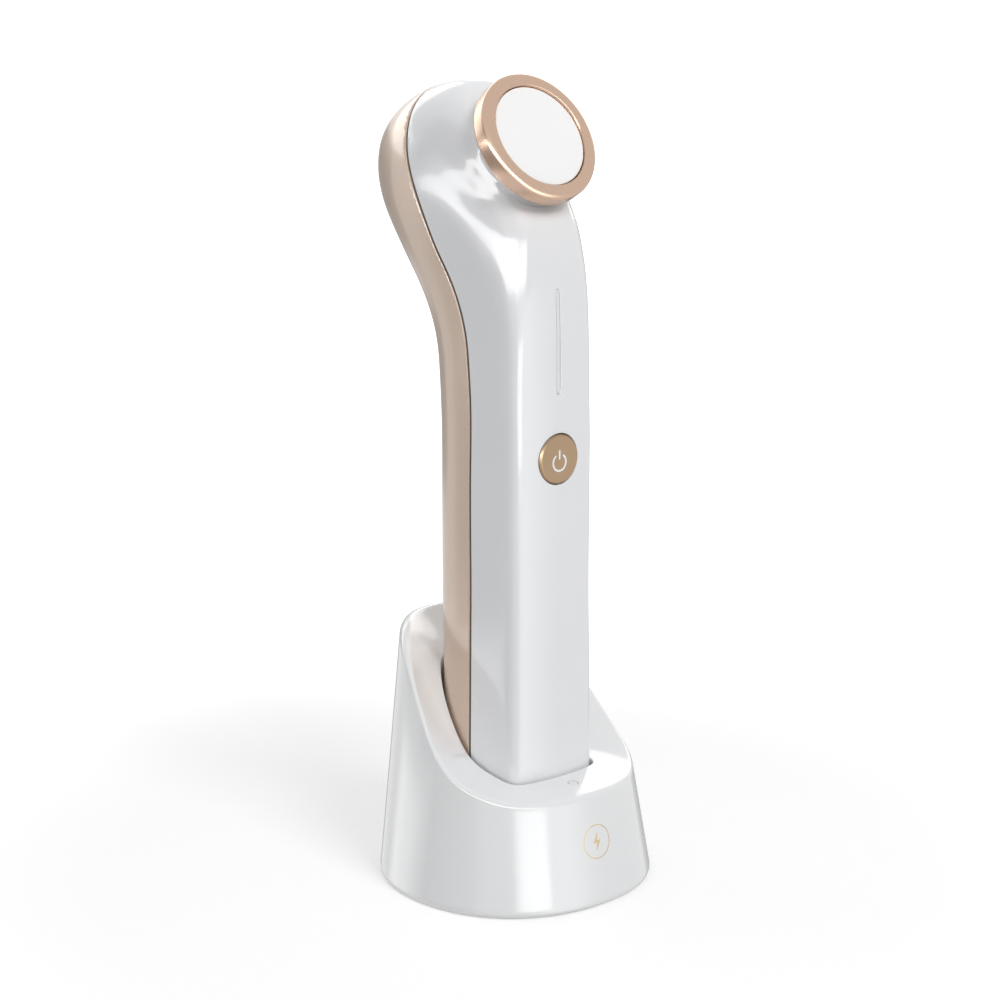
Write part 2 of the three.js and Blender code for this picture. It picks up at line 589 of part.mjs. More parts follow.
// The socket is as wide all the way up as the handset's foot, and follows its back
function socketLoop(z, gap) {
  return ribLoop({ ...level(BASE_Z), back: level(z).back }, -gap).map(([x, y]) => [x, y, z]);
}
const socketHole = loft(socketHeights.map((z) => socketLoop(z, SOCKET_GAP)));
const blockHeights = [socketFloorBottom, BASE_Z + 30, SOCKET_TOP];
const socketBlock = loft(blockHeights.map((z) => socketLoop(z, SOCKET_GAP + SOCKET_WALL)));
const dockSolid = loft(dockLoops(0, 0, DOCK_BOTTOM));
const cavity = loft(dockLoops(DOCK_WALL, DOCK_WALL, DOCK_BOTTOM - 2)).subtract(socketBlock);
const plateTop = PAD_SHEET + BASE_PLATE;
const boardTop = DOCK_BOARD_Z + BOARD_THICKNESS;
const screwX = DOCK_HALF_WIDTH - DOCK_WALL - SCREW_MARGIN;
const screwSpots = [[-screwX, -SCREW_Y], [screwX, -SCREW_Y], [-screwX, SCREW_Y], [screwX, SCREW_Y]];
const blockTop = BASE_Z - BLOCK_TOP_DROP;
const blockHalfX = padX + 4;
const blockHalfY = 4;
const inletZ = boardTop + INLET_HEIGHT / 2;

// Flat pill outline for the inlet, extruded along Y
function pill(width, height, y0, y1) {
  const r = height / 2;
  const shape = new THREE.Shape();
  for (let i = 0; i < 16; i += 1) {
    const a = -Math.PI / 2 + (Math.PI * (i % 8)) / 7 + (i < 8 ? 0 : Math.PI);
    const cx = i < 8 ? width / 2 - r : -(width / 2 - r);
    shape[i ? 'lineTo' : 'moveTo'](cx + r * Math.cos(a), r * Math.sin(a));
  }
  shape.closePath();
  const g = new THREE.ExtrudeGeometry(shape, { depth: y1 - y0, bevelEnabled: false });
  return closed(g.rotateX(Math.PI / 2).translate(0, y1, inletZ));
}

const posts = screwSpots.map((spot) => rod(...spot, POST_RADIUS, plateTop + SEAT, SOCKET_TOP))
  .reduce((a, b) => a.add(b));
let dockShell = dockSolid.subtract(cavity).add(posts.intersect(dockSolid)).subtract(socketHole)
  .subtract(box(-blockHalfX - SEAT, blockHalfX + SEAT, PAD_Y - blockHalfY - SEAT, PAD_Y + blockHalfY + SEAT,
    socketFloorBottom - 1, socketFloorTop + 1))
  .subtract(rod(0, LENS_Y, LENS_RADIUS + 0.2, boardTop + 4, SOCKET_TOP))
  .subtract(pill(INLET_WIDTH + 0.8, INLET_HEIGHT + 0.8, DOCK_BACK - 8, DOCK_BACK + 4));
for (const [x, y] of screwSpots) dockShell = dockShell.subtract(rod(x, y, 1.4, plateTop, plateTop + 13, 12));

const ringAt = (z, inset) => spokes.map((s) => [...wallAt(s.angle, plateTop, inset), z]);
let basePlate = loft([ringAt(PAD_SHEET, DOCK_WALL + SEAT), ringAt(plateTop, DOCK_WALL + SEAT)]);
const boardHalf = DOCK_BOARD_WIDTH / 2;
const dockBoardFront = wallReach(boardHalf, boardTop, DOCK_WALL + DOCK_BOARD_MARGIN, -1);
const dockBoardBack = wallReach(boardHalf, boardTop, DOCK_WALL + DOCK_BOARD_MARGIN, 1);
for (const [x, y] of [[-boardHalf + 3, dockBoardFront + 4], [boardHalf - 3, dockBoardFront + 4],
  [-boardHalf + 3, dockBoardBack - 5], [boardHalf - 3, dockBoardBack - 5]]) {
  basePlate = basePlate.add(rod(x, y, 2.4, plateTop - 1, DOCK_BOARD_Z, 16));
}
for (const [x, y] of screwSpots) {
  basePlate = basePlate.subtract(rod(x, y, 2.9, 0, PAD_SHEET + 1.2))
    .subtract(rod(x, y, 1.4, 0, plateTop + 1, 12));
}
const antiSlipSheet = loft([ringAt(0, PAD_SHEET_INSET), ringAt(PAD_SHEET, PAD_SHEET_INSET)]);

// Contact block with two spring pins
const pinTop = padBottom - SEAT;
const pinLip = blockTop - 2.2;
const flangeTop = pinLip - SEAT;
const flangeBottom = flangeTop - 0.8;
const springZ0 = boardTop + SEAT;
const springZ1 = flangeBottom - SEAT;
let contactBlock = box(-blockHalfX, blockHalfX, PAD_Y - blockHalfY, PAD_Y + blockHalfY, boardTop, blockTop);
for (const x of [-padX, padX]) {
  contactBlock = contactBlock.subtract(rod(x, PAD_Y, PIN_RADIUS + SEAT, boardTop - 1, blockTop + 1))
    .subtract(rod(x, PAD_Y, PIN_FLANGE + SEAT, boardTop - 1, pinLip));
}
const pin = (x) => rod(x, PAD_Y, PIN_RADIUS, flangeTop - 0.1, pinTop, 16)
  .add(rod(x, PAD_Y, PIN_FLANGE, flangeBottom, flangeTop, 16));
const CURLS = 3;
const SPRING_WIRE = 0.2; // radius
function spring(x) {
  const points = [];
  const wire = SPRING_WIRE;
  const radius = PIN_FLANGE - 0.35;
  const height = springZ1 - springZ0 - 2 * wire;
  for (let i = 0; i <= CURLS * 8; i += 1) {
    const a = (2 * Math.PI * i) / 8;
    const z = springZ0 + wire + (height * i) / (CURLS * 8);
    points.push([x + radius * Math.cos(a), PAD_Y + radius * Math.sin(a), z]);
  }
  const loops = points.map((q, i) => {
    const a = (2 * Math.PI * i) / 8;
    return [0, 1, 2, 3, 4].map((k) => {
      const b = (2 * Math.PI * k) / 5;
      const out = wire * Math.cos(b);
      return [q[0] + out * Math.cos(a), q[1] + out * Math.sin(a), q[2] + wire * Math.sin(b)];
    });
  });
  return loft(loops);
}

// Height of the scoop where the light lens comes through, on the spoke that runs straight to the front
const frontSpoke = spokes.find((q) => q.foot[1] < 0 && Math.abs(q.foot[0]) < 0.01);
let lensTop = frontSpoke.z;
for (let t = 0; t <= 1; t += 0.02) {
  const q = scoopPoint(frontSpoke, t, 0, 0);
  if (q[1] >= LENS_Y) lensTop = q[2];
}
const ledTop = boardTop + 0.8;
const lens = rod(0, LENS_Y, LENS_RADIUS, lensTop - DOCK_WALL, lensTop)
  .add(rod(0, LENS_Y, LENS_RADIUS - 0.3, ledTop + SEAT, lensTop - DOCK_WALL + 0.5, 16));

const inletFront = DOCK_BACK - DRAFT_BACK * inletZ - 0.3;
const inlet = pill(INLET_WIDTH, INLET_HEIGHT, inletFront - INLET_LENGTH, inletFront)
  .subtract(pill(INLET_WIDTH - 0.7, INLET_HEIGHT - 0.7, inletFront - INLET_LENGTH + 1.2, inletFront + 1))
  .add(box(-3.3, 3.3, inletFront - INLET_LENGTH + 0.6, inletFront - 1, inletZ - 0.35, inletZ + 0.35));

function screw(x, y, headZ, headHeight, headRadius, shankRadius, length) {
  return rod(x, y, headRadius, headZ, headZ + headHeight)
    .subtract(box(x - headRadius, x + headRadius, y - 0.3, y + 0.3, headZ - 1, headZ + headHeight * 0.5))
    .add(rod(x, y, shankRadius, headZ + headHeight - 0.1, headZ + length, 12));
}

// Scene
const model = new THREE.Group();
function colour(hex, roughness, metalness = 0) {
  return new THREE.MeshStandardMaterial({ color: hex, roughness, metalness });
}
const WHITE = colour(0xeceded, 0.15);
const GOLD = colour(0xc3ab98, 0.25, 0.5);
const RING_GOLD = colour(0xc9ab94, 0.3, 1);
const BUTTON_GOLD = colour(0xb09070, 0.35, 0.9);
const DARK = colour(0x3a2c24, 0.6);
const CERAMIC = colour(0xf4f4f2, 0.2);
const INNER = colour(0x2d2f33, 0.6);
const BOARD = colour(0x1f5a3a, 0.5);
const STEEL = colour(0xa8abae, 0.35, 1);
const BRASS = colour(0xc8a24a, 0.3, 1);
const RUBBER = colour(0x4a4a4c, 0.9);
const COPPER = colour(0xb5653c, 0.35, 1);
const LIGHT = colour(0xdfe6ea, 0.3);
const RED = colour(0xa32a22, 0.5);
const BLUE = colour(0x2a5f9e, 0.4);

function add(name, solid, material, parent = model) {
  const mesh = new THREE.Mesh(geometryOf(solid), material);
  mesh.name = name;
  parent.add(mesh);
  return mesh;
}

add('front_shell', frontShell, WHITE);
add('rear_shell', rearShell, GOLD);
add('seam_gasket', seamGasket, DARK);
add('base_cap', baseCap, DARK);
add('inner_frame', frame, INNER);
add('control_board', box(-BOARD_WIDTH / 2, BOARD_WIDTH / 2, boardFront, boardFront + BOARD_THICKNESS, boardZ0,
  boardZ1), BOARD);
add('control_chip', box(-3.5, 3.5, boardFront - 1, boardFront, boardZ0 + 18, boardZ0 + 25), INNER);
add('button_switch', box(-SWITCH_SIZE / 2, SWITCH_SIZE / 2, boardFront - SWITCH_HEIGHT, boardFront,
  buttonZ - SWITCH_SIZE / 2, buttonZ + SWITCH_SIZE / 2)
  .add(turned([[0, switchFront], [1.5, switchFront], [1.5, boardFront - 1], [0, boardFront - 1]], 16)
    .translate([0, 0, buttonZ])), STEEL);
add('status_led', box(-1.5, 1.5, boardFront - 1, boardFront, lightMid - 1.5, lightMid + 1.5), LIGHT);
add('status_light_bar', lightBar, LIGHT);
add('power_button', buttonCap, BUTTON_GOLD).position.z = buttonZ;
add('battery_cell', rod(0, cellY, CELL_RADIUS, cellZ0, cellZ1, 32), BLUE);
for (const [place, z] of [['lower', footTop + SEAT], ['upper', cellZ1 + SEAT]]) {
  add(`battery_tab_${place}`, box(-5, 5, cellY - 5, cellY + 5, z, z + TAB_THICKNESS), STEEL);
}
add('voltage_converter', box(-CONVERTER_WIDTH / 2, CONVERTER_WIDTH / 2, blockY0, blockY0 + CONVERTER_DEPTH,
  converterZ0, converterZ1), INNER);
add('transformer', box(-TRANSFORMER_WIDTH / 2, TRANSFORMER_WIDTH / 2, blockY0, blockY0 + TRANSFORMER_DEPTH,
  transformerZ0, transformerZ1), COPPER);
add('high_voltage_lead', hvLead, RED);
for (const [side, x] of [['left', -padX], ['right', padX]]) {
  add(`charge_pad_${side}`, rod(x, PAD_Y, PAD_RADIUS, padBottom, padTop, 24), BRASS);
  add(`charge_wire_${side}`, rod(x, PAD_Y, WIRE_RADIUS, padTop + SEAT, boardZ0 + WIRE_LAP, 8), RED);
}
add('base_cap_screw_front', screw(0, capScrewY[0], BASE_Z + 0.4, 1.1, 1.8, 0.9, 6.5), STEEL);
add('base_cap_screw_rear', screw(0, capScrewY[1], BASE_Z + 0.4, 1.1, 1.8, 0.9, 6.5), STEEL);

// Treatment head, built along the disc's axis and turned to the head's tilt
const head = new THREE.Group();
head.position.set(0, DISC_Y, DISC_Z);
head.rotation.x = Math.PI - tilt;
model.add(head);
const discBack = -DISC_THICKNESS;
const seatFront = discBack - SEAT;
const discSeat = DISC_RADIUS + SEAT;
const holderRadius = NECK_RADIUS - SHELL_WALL - SEAT - 0.1;
const headBore = holderRadius + SEAT;
const holderFront = RING_BACK - SEAT;
const holderBack = holderFront - HOLDER_LENGTH;
add('treatment_disc', turned([[0, discBack], [DISC_RADIUS - 0.2, discBack], [DISC_RADIUS, discBack + 0.2],
  [DISC_RADIUS, -0.35], [DISC_RADIUS - 0.35, 0], [0, 0]]), CERAMIC, head);
const edge = 1.3;
add('head_ring', turned([[LEDGE_BORE, RING_BACK], [RING_RADIUS - edge, RING_BACK],
  [RING_RADIUS - 0.35, RING_BACK + 0.4], [RING_RADIUS, RING_BACK + edge], [RING_RADIUS, RING_LIP - edge],
  [RING_RADIUS - 0.35, RING_LIP - 0.4], [RING_RADIUS - edge, RING_LIP], [discSeat + 0.7, RING_LIP],
  [discSeat, RING_LIP - 0.7], [discSeat, seatFront], [LEDGE_BORE, seatFront], [LEDGE_BORE, RING_BACK]]),
RING_GOLD, head);
add('ring_gasket', turned([[headBore, RING_BACK - SEAT], [headBore, RING_BACK - SEAT - RING_GASKET],
  [COLLAR_RADIUS - 0.5, RING_BACK - SEAT - RING_GASKET], [COLLAR_RADIUS - 0.5, RING_BACK - SEAT],
  [headBore, RING_BACK - SEAT]], 40), DARK, head);
const flare = COLLAR_RADIUS - NECK_RADIUS;
add('head_collar', turned([[headBore, COLLAR_BACK], [NECK_RADIUS, COLLAR_BACK],
  [NECK_RADIUS + flare * 0.1, COLLAR_BACK + COLLAR_LENGTH * 0.35],
  [NECK_RADIUS + flare * 0.45, COLLAR_BACK + COLLAR_LENGTH * 0.68],
  [COLLAR_RADIUS, COLLAR_FRONT - 0.35], [COLLAR_RADIUS, COLLAR_FRONT], [headBore, COLLAR_FRONT],
  [headBore, COLLAR_BACK]]), WHITE, head);
add('electrode_plate', turned([[0, RING_BACK + 0.1], [LEDGE_BORE - SEAT, RING_BACK + 0.1],
  [LEDGE_BORE - SEAT, seatFront], [0, seatFront]], 40), BRASS, head);
add('electrode_holder', turned([[LEAD_RADIUS + SEAT, holderBack], [holderRadius, holderBack],
  [holderRadius, holderFront], [holderRadius - HOLDER_WALL, holderFront],
  [holderRadius - HOLDER_WALL, holderBack + HOLDER_WALL],
  [LEAD_RADIUS + SEAT, holderBack + HOLDER_WALL], [LEAD_RADIUS + SEAT, holderBack]], 40), INNER, head);

add('dock_shell', dockShell, WHITE);
add('dock_base_plate', basePlate, colour(0xd4d4d4, 0.5));
add('anti_slip_sheet', antiSlipSheet, RUBBER);
const ballastTop = plateTop + BALLAST_HEIGHT;
const ballastHalf = BALLAST_LENGTH / 2;
const ballastIn = HANDLE_HALF_WIDTH + FOOT_SPREAD + SOCKET_GAP + SOCKET_WALL + BALLAST_GAP;
const ballastOut = Math.min(...[-ballastHalf, ballastHalf].map((y) => wallWidth(y, ballastTop, DOCK_WALL)))
  - BALLAST_MARGIN;
for (const [side, s] of [['left', -1], ['right', 1]]) {
  add(`ballast_bar_${side}`, box(ballastIn, ballastOut, -ballastHalf, ballastHalf, plateTop, ballastTop)
    .scale([s, 1, 1]), STEEL);
  add(`charge_pin_${side}`, pin(s * padX), BRASS);
  add(`charge_spring_${side}`, spring(s * padX), STEEL);
}
add('dock_board', box(-boardHalf, boardHalf, dockBoardFront, dockBoardBack, DOCK_BOARD_Z, boardTop), BOARD);
add('contact_block', contactBlock, INNER);
add('dock_led', box(-1, 1, LENS_Y - 1, LENS_Y + 1, boardTop, ledTop), LIGHT);
add('dock_light_lens', lens, LIGHT);
add('power_inlet', inlet, STEEL);
for (const [i, [x, y]] of screwSpots.entries()) {
  add(`dock_screw_${i + 1}`, screw(x, y, PAD_SHEET + 0.1, 0.9, 2.5, 1.1, 13), STEEL);
}

export default model;
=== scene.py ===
# %% [markdown]
# # A skin treatment handset standing in its charging dock
# This file dresses a packed CAD model in Blender. The CAD model gives every size and every joint, and
# this file gives the looks: smooth mouldings, turned metal, lacquer, light. The handset is a white
# front shell and a champagne rear shell with a dark seal between them, a round ceramic disc in a metal
# ring on a bent neck, and a metal power button. It stands in a white dock with a scooped top. Lengths
# are written in millimetres, as in the CAD model, and turned into metres where a mesh is made. Only
# the lamps, the cards, the floor and the grain of a finish are written in metres.

import json
import math

import bpy
import bmesh
import numpy as np
from mathutils import Matrix, Vector


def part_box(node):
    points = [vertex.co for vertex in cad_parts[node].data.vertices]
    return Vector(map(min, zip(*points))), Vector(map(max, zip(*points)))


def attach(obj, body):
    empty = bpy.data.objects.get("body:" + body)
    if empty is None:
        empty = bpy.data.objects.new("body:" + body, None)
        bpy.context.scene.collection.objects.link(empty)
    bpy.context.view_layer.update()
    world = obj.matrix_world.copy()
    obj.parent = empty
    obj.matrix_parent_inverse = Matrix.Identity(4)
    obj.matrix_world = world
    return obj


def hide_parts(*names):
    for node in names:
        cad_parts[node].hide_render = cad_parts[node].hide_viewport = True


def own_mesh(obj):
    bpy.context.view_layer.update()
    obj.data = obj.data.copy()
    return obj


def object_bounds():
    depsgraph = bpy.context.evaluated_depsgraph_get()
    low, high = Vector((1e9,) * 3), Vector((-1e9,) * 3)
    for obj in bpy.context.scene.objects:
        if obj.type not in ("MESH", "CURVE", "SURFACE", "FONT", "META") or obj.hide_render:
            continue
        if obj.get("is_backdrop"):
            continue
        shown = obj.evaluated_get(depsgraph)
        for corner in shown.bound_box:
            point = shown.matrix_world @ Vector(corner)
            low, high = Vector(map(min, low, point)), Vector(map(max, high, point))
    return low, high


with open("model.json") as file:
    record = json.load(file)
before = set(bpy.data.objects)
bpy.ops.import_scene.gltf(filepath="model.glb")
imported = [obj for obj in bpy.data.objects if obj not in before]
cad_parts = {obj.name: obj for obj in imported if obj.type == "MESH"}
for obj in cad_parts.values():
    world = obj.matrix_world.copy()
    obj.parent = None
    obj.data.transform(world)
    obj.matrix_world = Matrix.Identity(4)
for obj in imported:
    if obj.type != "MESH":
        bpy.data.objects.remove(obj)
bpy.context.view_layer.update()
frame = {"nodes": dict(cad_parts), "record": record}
scene = bpy.context.scene
scene.view_settings.view_transform = "Standard"
MM = 0.001

# %% [markdown]
# ## Camera
# The photograph was taken from the front and the left, a little above the handset. The camera is set
# from a heading, a height angle and a distance, because these three are what one would set on a
# tripod. Its own axes follow from them: to the right, up, and back from the object.

# %% Camera
HEADING, HEIGHT_ANGLE, DISTANCE = math.radians(40.817), math.radians(12.702), 583.0
AIM = np.array([-2.886, 2.492, 100.936])
PIXELS_PER_MM, IMAGE, SENSOR = 3.86, 1000, 36

right = np.array([math.cos(HEADING), -math.sin(HEADING), 0])
back = np.array([-math.sin(HEADING) * math.cos(HEIGHT_ANGLE),
                 -math.cos(HEADING) * math.cos(HEIGHT_ANGLE), math.sin(HEIGHT_ANGLE)])
up = np.cross(back, right)
eye = AIM + DISTANCE * back
camera = bpy.data.objects.new("camera", bpy.data.cameras.new("camera"))
scene.collection.objects.link(camera)
camera.matrix_world = Matrix([*zip(right, up, back, eye * MM), (0, 0, 0, 1)])
camera.data.sensor_width = SENSOR
camera.data.lens = SENSOR * PIXELS_PER_MM * DISTANCE / IMAGE
camera.data.clip_start, camera.data.clip_end = 0.01, 100
scene.camera = camera
print("camera at", np.round(eye, 1), "mm, lens", round(camera.data.lens, 2), "mm")

# %% [markdown]
# ## Shader maths written as Python
# A finish is a small network of shader nodes. Drawing it by mouse is quick, but in a script each node
# takes several lines. So one class, Wire, stands for a socket that gives a value, and its operators
# add the Math node that does the sum: `1 - mask * 0.2` reads as it would on paper. The class Nodes
# holds a tree, and its one method adds any other node. A Finish is the tree of a material.

# %% Wire, Nodes and Finish
class Wire:
    """A value that comes out of a shader node."""

    def __init__(self, nodes, socket):
        self.nodes, self.socket = nodes, socket

    def math(self, operation, other, swap=False):
        """A Math node on this value and another."""
        pair = [other, self] if swap else [self, other]
        return self.nodes.node("ShaderNodeMath", {"operation": operation}, dict(enumerate(pair)))

    def __add__(self, other):
        return self.math("ADD", other)

    def __sub__(self, other):
        return self.math("SUBTRACT", other)

    def __rsub__(self, other):
        return self.math("SUBTRACT", other, swap=True)

    def __mul__(self, other):
        return self.math("MULTIPLY", other)

    def __abs__(self):
        return self.nodes.node("ShaderNodeMath", {"operation": "ABSOLUTE"}, {0: self})

    __radd__ = __add__
    __rmul__ = __mul__


class Nodes:
    """A tree of shader nodes, of a material or of the world."""

    def __init__(self, tree):
        self.tree = tree
        tree.nodes.clear()

    def node(self, kind, settings=None, inputs=None, output=0):
        """Adds a node, sets it, fills or links its sockets, and gives one of its outputs."""
        made = self.tree.nodes.new(kind)
        for key, value in (settings or {}).items():
            setattr(made, key, value)
        for key, value in (inputs or {}).items():
            if isinstance(value, Wire):
                self.tree.links.new(value.socket, made.inputs[key])
            else:
                made.inputs[key].default_value = value
        return Wire(self, made.outputs[output])

    def show(self, shader, kind="ShaderNodeOutputMaterial"):
        """Wires a shader to the output of the tree."""
        end = self.tree.nodes.new(kind)
        self.tree.links.new(shader.socket, end.inputs["Surface"])


class Finish(Nodes):
    """A material, built node by node."""

    def __init__(self, name):
        self.material = bpy.data.materials.new(name)
        self.material.use_nodes = True
        super().__init__(self.material.node_tree)

    def mix(self, factor, a, b):
        """Colour a where factor is 0, colour b where it is 1."""
        return self.node("ShaderNodeMix", {"data_type": "RGBA"}, {0: factor, 6: a, 7: b}, output=2)

    def noise(self, scale, detail, stretch=(1, 1, 1)):
        """Cloudy values about 0.5, with a scale in waves per metre, fixed to the piece."""
        place = self.node("ShaderNodeTexCoord", output="Object")
        spot = self.node("ShaderNodeMapping", inputs={"Vector": place, "Scale": stretch})
        return self.node("ShaderNodeTexNoise", inputs={"Vector": spot, "Scale": scale, "Detail": detail})

    def bump(self, height, depth):
        """A relief of the given depth in metres."""
        return self.node("ShaderNodeBump", inputs={"Height": height, "Distance": depth, "Strength": 1.0})

    def surface(self, **sockets):
        """Ends the material with a Principled shader that has these sockets."""
        named = {key.replace("_", " "): value for key, value in sockets.items()}
        self.show(self.node("ShaderNodeBsdfPrincipled", inputs=named))
        return self


print("helpers ready: a finish is", Finish.__doc__)

# %% [markdown]
# ## Finishes that show
# The white parts are injection moulded in a polished tool, so they are glossy, and a closer look shows
# a very faint waviness, called orange peel. The rear shell is lacquered in champagne over a pearl
# base: a metallic layer under a clear coat. The ring and the button are turned aluminium, anodised,
# and blasted to a satin. In each finish noise shifts the colour and the roughness a little, as
# handling and moulding do.

# %% Glossy mouldings
def linear(*screen):
    """A colour as it looks on the screen, 0 to 255, as the linear values that a shader wants."""
    return (*(((c / 255 + 0.055) / 1.055) ** 2.4 for c in screen), 1.0)


def moulded(name, tint, shade, roughness, coat=0.0, peel=4e-6, metallic=0.0):
    """Moulded or lacquered plastic: a slow drift of tint, cloudy gloss and a faint orange peel."""
    finish = Finish(name)
    colour = finish.mix(finish.noise(14, 1.0), linear(*tint), linear(*shade))
    gloss = finish.noise(60, 3.0) * 0.04 + (roughness - 0.02)
    relief = finish.bump(finish.noise(900, 1.0), peel)
    return finish.surface(Base_Color=colour, Roughness=gloss, Metallic=metallic, Coat_Weight=coat,
                          Coat_Roughness=0.04, Normal=relief)


white_plastic = moulded("white glossy plastic", (240, 241, 243), (236, 237, 239), 0.16, coat=0.4)
dock_plastic = moulded("white dock plastic", (241, 242, 243), (237, 238, 239), 0.16, coat=0.4)
champagne = moulded("champagne pearl lacquer", (211, 190, 172), (203, 182, 164), 0.3, coat=1.0,
                    metallic=0.35)
ceramic = moulded("white ceramic", (254, 254, 254), (251, 251, 251), 0.12, peel=1e-6)
milky = moulded("milky light window", (236, 238, 240), (228, 231, 234), 0.25, peel=1e-6)
print("mouldings:", white_plastic.material.name, "and", champagne.material.name)

# %% [markdown]
# The ring, the button and the contacts are metal, and what is left is rubber, print or rough
# plastic. Blasted metal spreads a highlight evenly in all directions, which a fine grain in the
# roughness gives. A rubber seal is dark and dull, with a coarser grain in its relief.

# %% Turned metal, seals and paint
def metal(name, tint, shade, roughness, grain=2500, relief=2e-7, stretch=(1, 1, 1), swing=0.12):
    """Metal with a fine blasted or brushed grain."""
    finish = Finish(name)
    fine = finish.noise(grain, 3.0, stretch)
    colour = finish.mix(finish.noise(25, 1.0), linear(*tint), linear(*shade))
    rough = fine * swing + (roughness - swing / 2)
    return finish.surface(Base_Color=colour, Roughness=rough, Metallic=1.0,
                          Normal=finish.bump(fine, relief))


def matt(name, tint, shade, roughness, grain=700, relief=2e-5):
    """Rubber, print, solder mask or rough plastic."""
    finish = Finish(name)
    fine = finish.noise(grain, 4.0)
    return finish.surface(Base_Color=finish.mix(fine, linear(*tint), linear(*shade)),
                          Roughness=fine * 0.1 + (roughness - 0.05), Normal=finish.bump(fine, relief))


rose_gold = metal("satin rose gold", (202, 174, 154), (198, 170, 150), 0.26, relief=2e-8, swing=0.02)
bronze = metal("satin bronze", (160, 137, 112), (154, 131, 106), 0.34)
steel = metal("bright steel", (176, 178, 180), (160, 162, 165), 0.3)
contact_gold = metal("gold plating", (226, 186, 110), (214, 172, 98), 0.22)
copper = metal("copper winding", (196, 118, 82), (170, 96, 64), 0.35, grain=1800, relief=2e-5,
               stretch=(1, 1, 6))
gold_ink = metal("gold print", (198, 176, 138), (188, 166, 128), 0.35)
seal = matt("dark brown seal", (58, 44, 36), (48, 36, 30), 0.6, relief=5e-6)
rubber = matt("anti-slip rubber", (66, 66, 68), (54, 54, 56), 0.85, grain=2200, relief=6e-5)
black_plastic = matt("black plastic", (44, 45, 48), (34, 35, 38), 0.55)
grey_plastic = matt("light grey plastic", (212, 212, 212), (204, 204, 205), 0.5)
board_green = matt("green circuit board", (34, 96, 62), (26, 78, 50), 0.4)
cable_red = matt("red insulation", (168, 40, 32), (150, 32, 26), 0.45, relief=4e-6)
cell_blue = matt("blue shrink wrap", (48, 100, 162), (40, 88, 148), 0.35, relief=8e-6)
white_ink = matt("white print", (252, 252, 250), (246, 246, 244), 0.4, relief=1e-6)
print("finishes made:", len([m for m in bpy.data.materials if m.use_nodes]))

# %% [markdown]
# ## How a piece is made
# Every moulding here has a smooth skin, so its mesh is a grid of points worked out from formulas. A
# grid gives even four-sided faces, which shade without ripples. Edges that really are sharp are marked
# by their angle, and the rest is shaded smooth.

# %% Mesh helpers
SAME_POINT = 1e-7


def smooth(made, sharp):
    """Shades a mesh smooth, apart from edges that turn by more than an angle in degrees."""
    made.data.shade_smooth()
    made.data.set_sharp_from_angle(angle=math.radians(sharp))


def build(name, points, faces, finish, sharp=40):
    """A mesh object from points in mm, with its faces turned outwards."""
    mesh = bpy.data.meshes.new(name)
    corners = [tuple(point) for point in np.asarray(points) * MM]
    mesh.from_pydata(corners, [], [tuple(map(int, face)) for face in faces])
    work = bmesh.new()
    work.from_mesh(mesh)
    bmesh.ops.remove_doubles(work, verts=work.verts, dist=SAME_POINT)
    loose = [v for v in work.verts if not v.link_faces]
    bmesh.ops.delete(work, geom=loose, context="VERTS")
    bmesh.ops.recalc_face_normals(work, faces=work.faces)
    work.to_mesh(mesh)
    work.free()
    made = bpy.data.objects.new(name, mesh)
    scene.collection.objects.link(made)
    mesh.materials.append(finish.material)
    smooth(made, sharp)
    return made


def apply(made, sharp=40):
    """Bakes the modifiers into the mesh, so that what is seen is what is kept."""
    bpy.context.view_layer.update()
    final = bpy.data.meshes.new_from_object(made.evaluated_get(bpy.context.evaluated_depsgraph_get()))
    made.modifiers.clear()
    made.data = final
    smooth(made, sharp)


def place(made, body, slot, *nodes):
    """Hangs a piece on its body and hides the CAD nodes that it stands for; the slot is not used."""
    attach(made, body)
    if nodes:
        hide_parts(*nodes)
    size = Vector(made.bound_box[6]) - Vector(made.bound_box[0])
    print(f"{made.name}: {len(made.data.polygons)} faces, {[round(v / MM, 1) for v in size]} mm")
    return made


def unit(vectors):
    """The same directions, each with a length of 1."""
    return vectors / np.linalg.norm(vectors, axis=-1, keepdims=True)


def grid(rows, around, wrap_rows=False):
    """Faces of a grid of points, closed around and, if asked, also from the last row to the first."""
    last = rows if wrap_rows else rows - 1
    return [(i * around + j, i * around + (j + 1) % around, (i + 1) % rows * around + (j + 1) % around,
             (i + 1) % rows * around + j) for i in range(last) for j in range(around)]


def tube(name, outlines, finish, sharp=40, loop=False):
    """Joins outlines of equally many points into a solid, with flat ends or as a closed loop."""
    count, last = len(outlines[0]), (len(outlines) - 1) * len(outlines[0])
    ends = [] if loop else [tuple(range(count)), tuple(range(last, last + count))]
    return build(name, np.concatenate(outlines), grid(len(outlines), count, loop) + ends, finish, sharp)


def turned(name, profile, finish, origin, axis, steps=128, sharp=40):
    """A lathe piece: (radius, height) points spun about an axis that is square to X."""
    axis = unit(np.array(axis, float))
    side = np.array([1.0, 0, 0])
    third = np.cross(axis, side)
    angles = 2 * np.pi * np.arange(steps) / steps
    outlines = [[np.array(origin) + r * (np.cos(a) * side + np.sin(a) * third) + h * axis
                 for a in angles] for r, h in profile]
    return tube(name, outlines, finish, sharp, loop=True)


def arc(centre, radius, start, end, steps):
    """Points on an arc, angles in degrees."""
    turn = np.radians(np.linspace(start, end, steps + 1))
    return [(centre[0] + radius * math.cos(t), centre[1] + radius * math.sin(t)) for t in turn]


print("mesh helpers ready; points closer than", SAME_POINT / MM, "mm become one")

